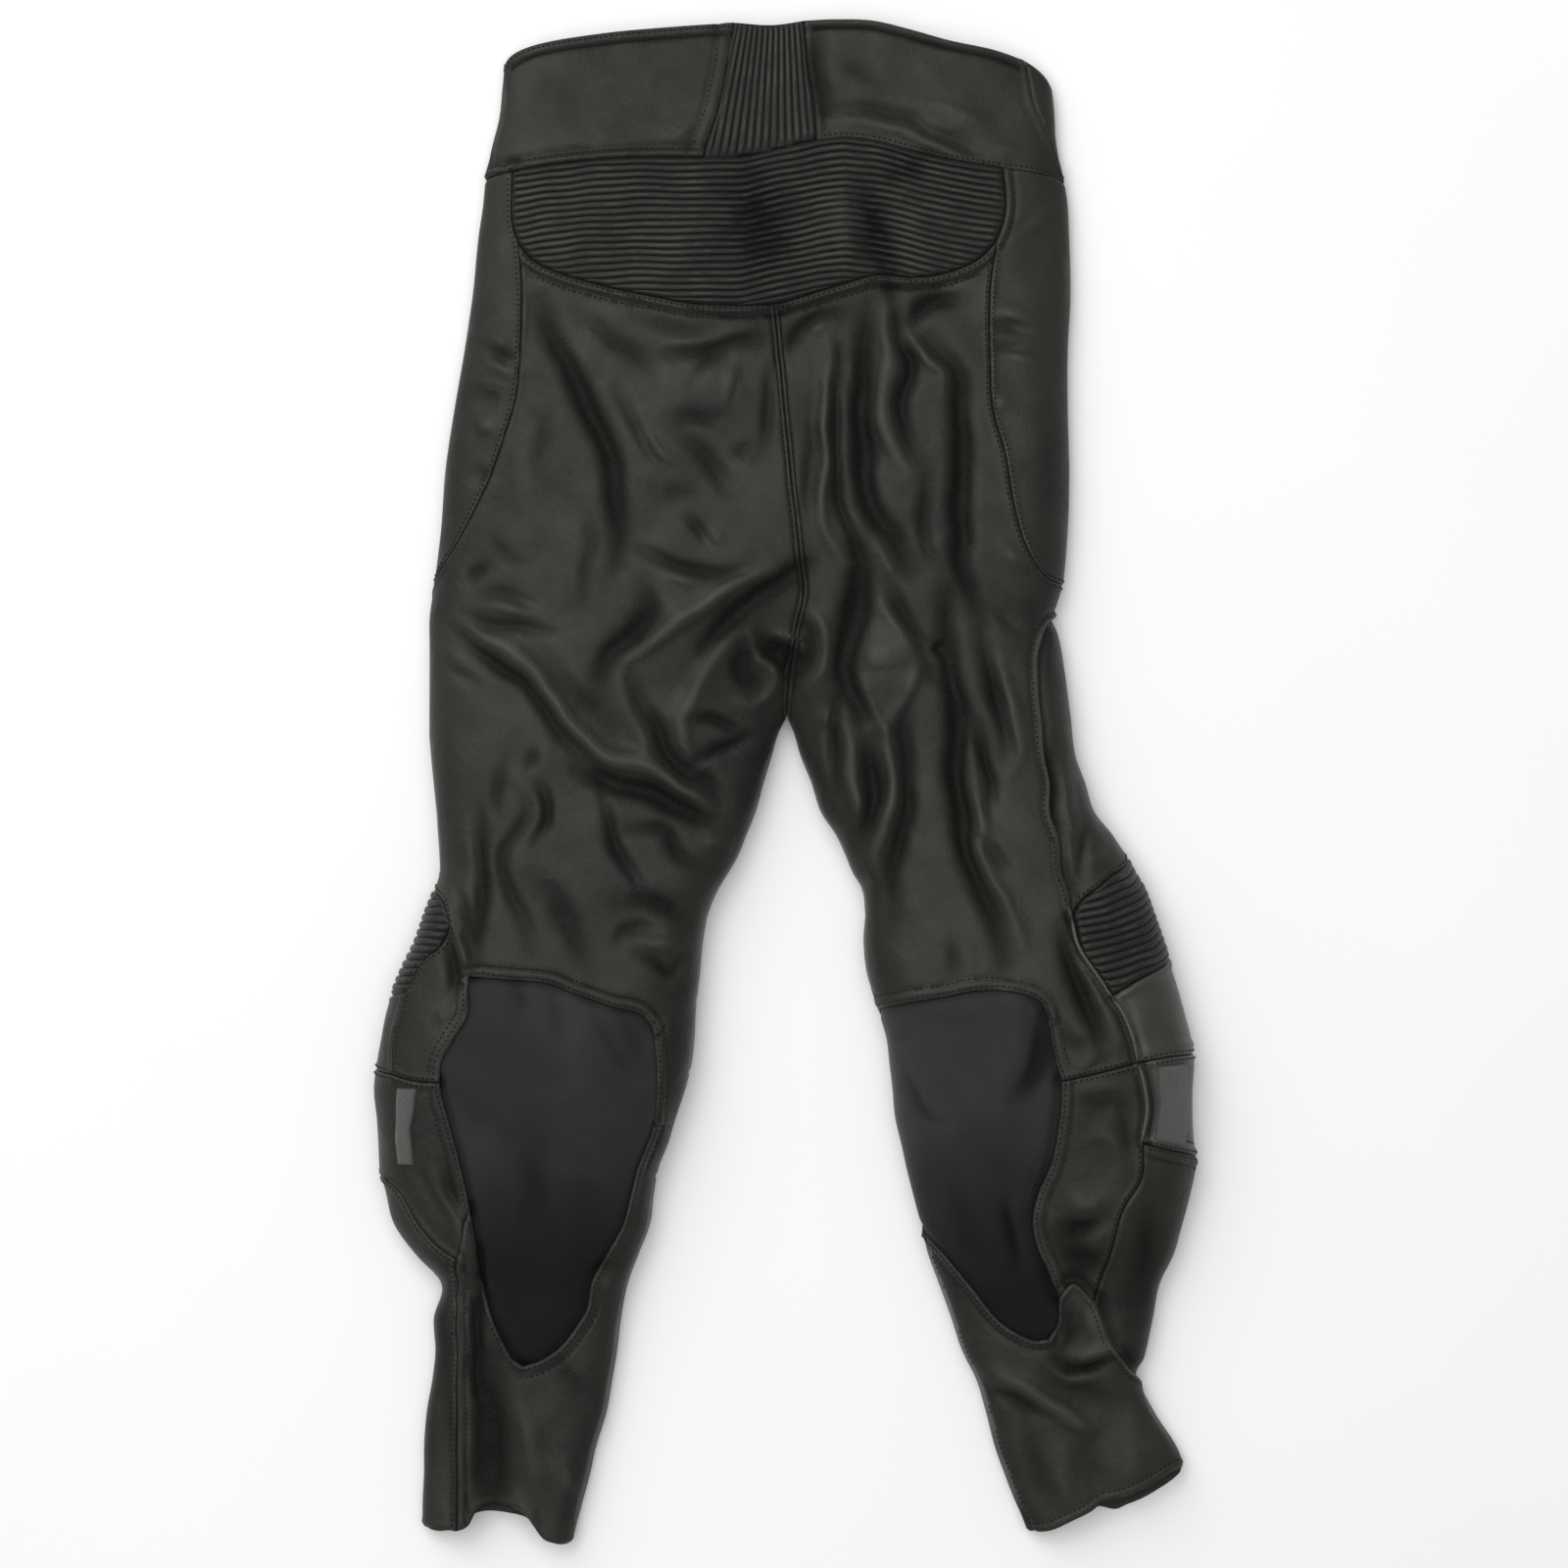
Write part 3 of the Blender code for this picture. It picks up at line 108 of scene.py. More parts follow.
# Folds and creases of the back: height (minus is a trough), half width, points of the line
backFolds = [
    # waist and yoke
    (-2.5, 5, ((37, 499), (58, 490), (67, 484))),
    (2.5, 5, ((85, 469), (112, 465), (136, 457))),
    (2.0, 5, ((94, 454), (127, 454))),
    (2.0, 4, ((139, 439), (166, 436))),
    (2.5, 3, ((-77, 445), (-65, 454))),
    (1.6, 12, ((-150, 490), (-110, 480), (-70, 486))),
    (-1.6, 10, ((-140, 462), (-110, 456), (-84, 462))),
    (-5.0, 7, ((22, 520), (24, 480), (28, 455))),
    (3.0, 3, ((34, 456), (55, 457), (79, 451), (100, 441), (127, 432), (150, 429))),
    (-3.5, 3, ((28, 463), (52, 467), (79, 461), (100, 450), (127, 440))),
    (-5.0, 22, ((-30, 430), (-20, 400), (-10, 360), (0, 345))),
    (-6.0, 9, ((53, 409), (62, 385), (68, 362), (72, 345))),
    (-4.0, 9, ((67, 415), (85, 420), (97, 428))),
    (3.0, 10, ((38, 420), (40, 390), (42, 355))),
    (2.4, 9, ((84, 410), (88, 380), (92, 356))),
    (3.0, 4, ((157, 374), (172, 385), (187, 397))),
    (-2.4, 5, ((158, 382), (170, 386), (186, 392))),
    # left side of the seat
    (-7.0, 7, ((-170, 331), (-163, 314), (-156, 297), (-144, 276), (-134, 257), (-125, 236),
               (-119, 216), (-116, 195), (-114, 172), (-114, 150))),
    (-3.8, 6, ((-142, 324), (-127, 314), (-115, 302), (-98, 291), (-90, 284))),
    (-3.2, 3.5, ((-115, 271), (-106, 253), (-99, 236), (-91, 224), (-80, 217))),
    (2.6, 4, ((-96, 238), (-88, 227), (-78, 221))),
    (-3.0, 5, ((-102, 322), (-75, 314), (-50, 311))),
    (3.0, 4, ((-84, 302), (-62, 304), (-40, 308), (-22, 314))),
    (-4.0, 4.5, ((-85, 296), (-60, 298), (-38, 303), (-18, 305))),
    (3.5, 13, ((-46, 274), (-34, 271))),
    (-3.0, 4, ((-63, 279), (-54, 290), (-42, 293))),
    (-3.5, 4, ((-10, 286), (-11, 267), (-13, 241), (-20, 224))),
    (-4.0, 5.5, ((-77, 252), (-60, 252), (-42, 248))),
    (-4.0, 5.5, ((-73, 243), (-63, 233), (-54, 222), (-46, 212), (-39, 198))),
    (-3.0, 5, ((-24, 235), (-34, 223))),
    (-3.0, 6, ((-84, 200), (-63, 200))),
    (-4.0, 3.5, ((-67, 184), (-60, 176), (-54, 167))),
    (2.5, 4.5, ((-53, 171), (-42, 166))),
    (-2.5, 5, ((-161, 255), (-165, 241), (-168, 222))),
    (-3.0, 4.5, ((-136, 185), (-134, 168), (-136, 147), (-136, 124))),
    (-2.5, 5, ((-205, 169), (-192, 157), (-177, 149))),
    (-4.5, 4, ((-220, 138), (-213, 144), (-205, 149))),
    (-3.5, 4, ((-211, 129), (-194, 131), (-175, 123))),
    (3.5, 4.5, ((-208, 122), (-194, 123), (-176, 117))),
    (-4.5, 4, ((-226, 114), (-205, 110), (-184, 108), (-161, 102))),
    (-4.8, 4, ((-101, 159), (-73, 150), (-47, 144), (-25, 145))),
    (2.5, 4, ((-80, 143), (-60, 138))),
    (-6.5, 8, ((-97, 137), (-94, 118), (-104, 101), (-119, 90), (-126, 76), (-126, 63))),
    (7.0, 5, ((-8, 146), (-30, 138), (-51, 125), (-76, 111), (-92, 97), (-108, 86))),
    (-7.5, 6.5, ((13, 149), (-4, 140), (-25, 122), (-43, 108), (-55, 95))),
    (3.0, 4, ((-13, 128), (-29, 112))),
    (2.2, 9, ((-190, 250), (-180, 214), (-176, 180))),
    (-1.8, 13, ((-96, 296), (-50, 300), (0, 310), (44, 316))),
    # left hip
    (4.0, 4, ((-204, 310), (-192, 301))),
    (-4.8, 4, ((-206, 301), (-189, 290))),
    (3.6, 4, ((-206, 290), (-186, 283))),
    (-4.2, 6, ((-222, 268), (-196, 266))),
    (4.4, 6, ((-214, 247), (-198, 247))),
    (-3.4, 5, ((-216, 212), (-204, 214))),
    # left thigh
    (-6.5, 5, ((-239, 115), (-228, 104), (-214, 94), (-196, 81), (-180, 71), (-168, 56),
               (-159, 40), (-147, 28), (-133, 18), (-122, 5))),
    (7.0, 5.5, ((-228, 112), (-210, 101), (-191, 92), (-175, 79), (-163, 62), (-150, 42),
                (-136, 28), (-119, 16), (-96, 12), (-78, 2), (-60, -11), (-46, -20), (-32, -25))),
    (-8.0, 7, ((-140, 9), (-126, 2), (-105, -4), (-87, -9), (-69, -18), (-51, -24), (-36, -27))),
    (-3.5, 7, ((-172, 92), (-157, 76), (-140, 60), (-122, 42), (-106, 26))),
    (4.0, 6, ((-115, 78), (-110, 62), (-104, 48), (-96, 30), (-90, 16))),
    (-6.5, 6, ((-106, 69), (-101, 53), (-90, 37), (-82, 23), (-69, 9), (-55, 2), (-43, -14))),
    (5.0, 6, ((-36, 104), (-48, 86), (-58, 69), (-66, 56), (-71, 37), (-69, 21), (-62, 12))),
    (-4.5, 3.5, ((-69, 44), (-55, 45), (-43, 40), (-30, 34))),
    (-5.0, 4, ((-62, 14), (-51, 21), (-37, 26), (-18, 32))),
    (-3.0, 4, ((-237, 85), (-223, 74), (-209, 67))),
    (2.5, 4, ((-237, 92), (-223, 81))),
    (-3.5, 4, ((-172, 23), (-175, 9))),
    (-5.0, 3.5, ((-168, -2), (-164, -14), (-165, -28), (-170, -41))),
    (-3.5, 4, ((-193, 14), (-198, -2), (-200, -20))),
    (-4.0, 4.5, ((-188, -4), (-177, -16), (-180, -28), (-193, -46), (-193, -64), (-186, -82),
                 (-177, -99), (-171, -120))),
    (-5.0, 5, ((-212, -18), (-209, -41), (-208, -59), (-209, -85), (-212, -112), (-214, -130))),
    (-4.0, 7, ((-172, -64), (-161, -76), (-150, -94), (-140, -112), (-132, -128))),
    (-5.0, 3.5, ((-126, -9), (-122, -23), (-119, -37), (-112, -51), (-103, -66), (-99, -74))),
    (-5.0, 5, ((-108, -34), (-94, -32), (-81, -34), (-74, -46), (-60, -57), (-46, -60),
               (-37, -53))),
    (3.0, 4, ((-55, -41), (-37, -41))),
    (-5.5, 6, ((-113, -83), (-96, -82), (-76, -87), (-64, -98))),
    (-3.5, 5, ((-115, -112), (-112, -104), (-101, -100), (-87, -101))),
    (-5.0, 4.5, ((-100, -118), (-88, -124), (-80, -130), (-72, -120), (-62, -112))),
    (3.0, 5, ((-97, -108), (-84, -110), (-70, -108))),
    (-4.0, 5, ((-228, -73), (-221, -90), (-219, -112))),
    (-6.0, 5, ((-231, -106), (-227, -122), (-226, -136), (-229, -148))),
    (4.5, 3.6, ((-237, -66), (-230, -87), (-224, -107), (-220, -124), (-220, -141), (-227, -153),
                (-234, -160))),
    (1.8, 17, ((-52, -30), (-62, -70), (-74, -104))),
    # crotch
    (4.5, 2.8, ((-25, 101), (-18, 86), (-9, 81), (-5, 71), (-11, 60), (-21, 53), (-34, 55))),
    (-4.0, 6, ((-30, 92), (-28, 74), (-18, 65))),
    (5.0, 2.8, ((-8, 104), (1, 101), (11, 94))),
    (-9.0, 8, ((-16, 93), (-6, 90), (3, 85), (4, 70))),
    (4.5, 5, ((15, 118), (25, 106), (29, 89), (24, 74), (15, 64))),
    (-4.0, 5, ((12, 114), (17, 94), (15, 77))),
    (-3.2, 22, ((-92, 78), (-62, 78), (-30, 98), (-4, 124), (16, 150), (30, 176))),
    (-2.2, 17, ((-60, 52), (-20, 58), (24, 56), (60, 44), (78, 28))),
    # right side of the seat
    (3.0, 4, ((15, 310), (32, 317))),
    (-4.0, 5, ((1, 297), (9, 309), (24, 320), (44, 324))),
    (4.5, 4.5, ((31, 303), (29, 280), (27, 246), (28, 215), (25, 192), (27, 172), (36, 158),
                (43, 150))),
    (-5.0, 3, ((39, 301), (36, 276), (35, 246), (34, 215), (38, 192), (44, 172), (49, 159))),
    (-3.0, 5, ((22, 267), (19, 238), (16, 207), (15, 184))),
    (-7.5, 7, ((60, 330), (54, 300), (53, 261), (53, 230), (55, 207), (61, 187), (72, 172),
               (81, 156), (89, 145))),
    (6.0, 6, ((70, 327), (72, 307), (69, 280), (67, 255), (72, 236), (81, 219), (84, 213))),
    (-6.0, 5, ((72, 341), (76, 326), (79, 303), (86, 286), (81, 267), (81, 249), (86, 230),
               (92, 221))),
    (4.0, 4, ((84, 310), (90, 301), (98, 290), (107, 284), (110, 267))),
    (-6.0, 6, ((87, 313), (92, 322), (101, 331), (125, 333))),
    (-7.5, 7, ((99, 303), (113, 289), (120, 273), (121, 255), (121, 230), (121, 199), (121, 176),
               (120, 156), (128, 134), (135, 112))),
    (-4.0, 5, ((99, 219), (98, 199), (95, 176), (99, 156), (107, 149))),
    (-9.0, 9, ((50, 161), (52, 138), (48, 113), (41, 89), (46, 66), (52, 49))),
    (3.0, 5, ((63, 165), (72, 148), (78, 136))),
    (-6.0, 5, ((72, 138), (79, 120), (86, 104), (94, 89), (101, 72))),
    # right hip
    (4.0, 3.5, ((149, 324), (169, 319))),
    (-4.0, 3.5, ((141, 315), (166, 312))),
    (3.8, 3.5, ((155, 295), (170, 289))),
    (-3.6, 3.5, ((145, 301), (166, 296))),
    (3.2, 3, ((146, 263), (154, 260))),
    (2.5, 3, ((152, 158), (163, 152))),
    (2.6, 20, ((166, 350), (170, 270), (174, 180), (172, 110), (172, 40))),
    # right thigh
    (3.0, 5, ((24, 45), (30, 42))),
    (-4.5, 4, ((36, 57), (32, 35), (34, 15), (32, -6))),
    (4.0, 6, ((41, 49), (44, 27), (46, 2), (49, -20), (42, -45))),
    (-7.0, 6, ((57, 29), (59, 10), (61, -12), (52, -32), (46, -50))),
    (5.0, 15, ((68, 100), (70, 78))),
    (4.0, 4.5, ((67, 121), (79, 106), (86, 96), (94, 84))),
    (4.0, 4.5, ((94, 82), (82, 57), (71, 39))),
    (3.5, 4.5, ((49, 79), (56, 61), (66, 37))),
    (6.0, 5, ((67, 37), (72, 22), (76, 5), (72, -12), (66, -32), (61, -49), (59, -65))),
    (-6.0, 6, ((83, 56), (81, 32), (83, 9), (83, -15), (79, -40), (72, -65), (69, -99))),
    (-4.0, 2.5, ((101, 96), (108, 89))),
    (-8.0, 7, ((113, 133), (111, 102), (114, 77), (118, 52), (118, 29), (118, 2), (121, -23),
               (126, -48), (135, -74), (146, -99), (151, -124))),
    (-6.0, 5, ((135, 102), (140, 81), (146, 56), (151, 35), (155, 19))),
    (4.0, 5, ((146, 86), (151, 66), (156, 42), (161, 24), (155, 4))),
    (-5.5, 4, ((130, 42), (136, 22), (141, 2), (140, -18))),
    (4.5, 5, ((126, 19), (130, -7), (133, -28), (133, -42), (140, -65), (153, -90), (163, -112))),
    (-3.5, 3, ((134, -37), (143, -47), (153, -60))),
    (-2.5, 3, ((141, 121), (155, 109), (165, 104))),
    (-3.0, 5, ((117, -108), (116, -122), (114, -136))),
    (-4.0, 5, ((187, 35), (185, 2), (188, -32))),
    (3.5, 5, ((197, 19), (193, -15), (195, -48))),
    (-3.5, 4, ((207, -23), (203, -57), (200, -69))),
    (3.0, 5, ((222, -47), (207, -55))),
    # right side of the knee
    (-6.5, 5.5, ((191, -96), (193, -112), (197, -130), (203, -146), (212, -163), (219, -186))),
    (4.0, 4.5, ((199, -112), (207, -136), (217, -155), (229, -176))),
    (3.0, 4, ((197, -197), (206, -190), (215, -184))),
    (-3.0, 4, ((190, -166), (199, -178), (210, -178))),
    # calves, shins and cuffs
    (3.6, 4.5, ((-246, -275), (-236, -288), (-226, -298), (-222, -312), (-219, -326),
                (-216, -340))),
    (-3.0, 4, ((-252, -268), (-240, -286), (-231, -300))),
    (-3.6, 4, ((-236, -262), (-229, -280), (-222, -296))),
    (-6.0, 4.5, ((-212, -320), (-211, -340), (-212, -364), (-214, -390), (-212, -420))),
    (3.0, 5, ((-219, -345), (-220, -372), (-219, -404), (-220, -440), (-220, -490))),
    (-7.0, 14, ((-204, -400), (-206, -430), (-205, -460), (-203, -490), (-201, -512))),
    (3.0, 8, ((-190, -404), (-184, -430), (-176, -462), (-170, -492))),
    (3.5, 3.5, ((-186, -494), (-180, -502), (-174, -510))),
    (3.0, 6, ((-150, -474), (-148, -484), (-152, -494))),
    (-2.5, 7, ((-160, -400), (-148, -412), (-138, -424))),
    (3.0, 6, ((-126, -340), (-118, -347), (-111, -352))),
    (-3.0, 6, ((-136, -334), (-124, -332), (-112, -338))),
    (-3.0, 7, ((-236, -340), (-236, -400), (-238, -470))),
    (2.5, 5, ((207, -244), (221, -242), (230, -256), (228, -271))),
    (-2.5, 5, ((199, -216), (212, -222), (228, -221), (238, -228))),
    (2.4, 5, ((200, -208), (216, -209), (234, -208))),
    (-3.0, 5, ((233, -226), (235, -246), (234, -262))),
    (4.0, 7, ((196, -280), (207, -291), (219, -288))),
    (-4.5, 6, ((194, -304), (206, -305), (218, -300))),
    (-3.0, 9, ((192, -318), (206, -330), (216, -334))),
    (2.5, 7, ((204, -318), (214, -312), (224, -306))),
    (-2.2, 9, ((252, -280), (248, -320), (254, -360))),
    (5.0, 8, ((207, -358), (214, -373), (222, -388))),
    (-3.2, 17, ((190, -298), (204, -322), (212, -345))),
    (-2.8, 20, ((258, -290), (250, -328), (245, -366), (238, -395))),
    (6.0, 4, ((199, -397), (212, -393), (230, -391))),
    (-6.5, 4, ((188, -398), (198, -403), (210, -403), (224, -399))),
    (2.6, 4, ((186, -404), (198, -410), (212, -410))),
    (-3.5, 5, ((200, -360), (196, -382), (187, -393))),
    (6.0, 5, ((140, -408), (155, -413), (173, -422), (194, -435), (208, -447))),
    (-4.5, 6, ((143, -418), (157, -424), (174, -434))),
    (-3.5, 8, ((180, -410), (194, -417), (212, -423), (232, -430))),
    (-3.0, 8, ((166, -440), (172, -462), (178, -486), (184, -502))),
    (2.6, 9, ((184, -446), (190, -462), (192, -486), (196, -504))),
    (-2.4, 8, ((206, -452), (212, -474), (216, -494))),
    (2.6, 9, ((236, -440), (238, -462), (236, -484))),
    # stretch panels
    (-3.0, 5, ((-187, -136), (-182, -146), (-178, -158))),
    (-2.6, 6, ((-163, -142), (-157, -158), (-150, -176))),
    (-3.2, 6, ((-138, -146), (-128, -166), (-118, -186), (-108, -202))),
    (-2.6, 7, ((-112, -160), (-104, -176), (-99, -196))),
    (3.0, 9, ((-146, -150), (-136, -176), (-126, -206))),
    (2.6, 12, ((-196, -150), (-192, -200), (-186, -240))),
    (-2.6, 12, ((-176, -230), (-172, -270), (-166, -310))),
    (2.8, 10, ((-150, -240), (-146, -280), (-150, -320))),
    (2.4, 5, ((-199, -338), (-192, -354), (-183, -370))),
    (-7.0, 8, ((172, -158), (172, -178), (169, -198), (158, -216))),
    (4.0, 5.5, ((152, -146), (163, -160), (165, -178), (160, -193), (149, -201))),
    (-4.0, 4, ((80, -192), (86, -208), (94, -224), (102, -231), (110, -231))),
    (-3.0, 4, ((72, -166), (80, -176), (88, -172))),
    (2.6, 7, ((84, -184), (96, -194), (106, -208))),
    (2.4, 14, ((128, -190), (130, -230), (126, -270))),
    (-5.0, 5, ((152, -286), (155, -308), (161, -336))),
    (4.0, 6, ((171, -250), (165, -272), (163, -300), (168, -335))),
    (-2.4, 10, ((112, -250), (120, -290), (132, -330))),
]

# Soft folds of the front, which lies on the table: all stand up into the hollow
underFolds = [
    (4.0, 12, ((-170, 320), (-150, 250), (-120, 170))),
    (3.0, 10, ((-90, 300), (-70, 240), (-50, 190))),
    (4.5, 12, ((70, 320), (60, 240), (70, 170))),
    (3.5, 11, ((130, 300), (128, 220), (140, 120))),
    (4.0, 11, ((-60, 110), (-110, 70), (-170, 40))),
    (3.5, 10, ((30, 120), (70, 70), (120, 40))),
    (4.0, 12, ((-180, 0), (-150, -40), (-120, -90))),
    (3.5, 11, ((100, 10), (120, -40), (140, -100))),
    (3.0, 10, ((180, 20), (190, -20), (210, -60))),
    (3.5, 12, ((-240, -170), (-180, -180), (-120, -170))),
    (3.0, 12, ((120, -170), (180, -176), (240, -170))),
    (3.0, 12, ((-230, -300), (-180, -330), (-140, -320))),
    (3.0, 12, ((130, -320), (180, -350), (230, -340))),
    (2.5, 12, ((-220, -400), (-190, -440), (-170, -480))),
    (2.5, 12, ((170, -400), (200, -430), (240, -450))),
    (2.0, 12, ((-140, 460), (-60, 448), (20, 452))),
]

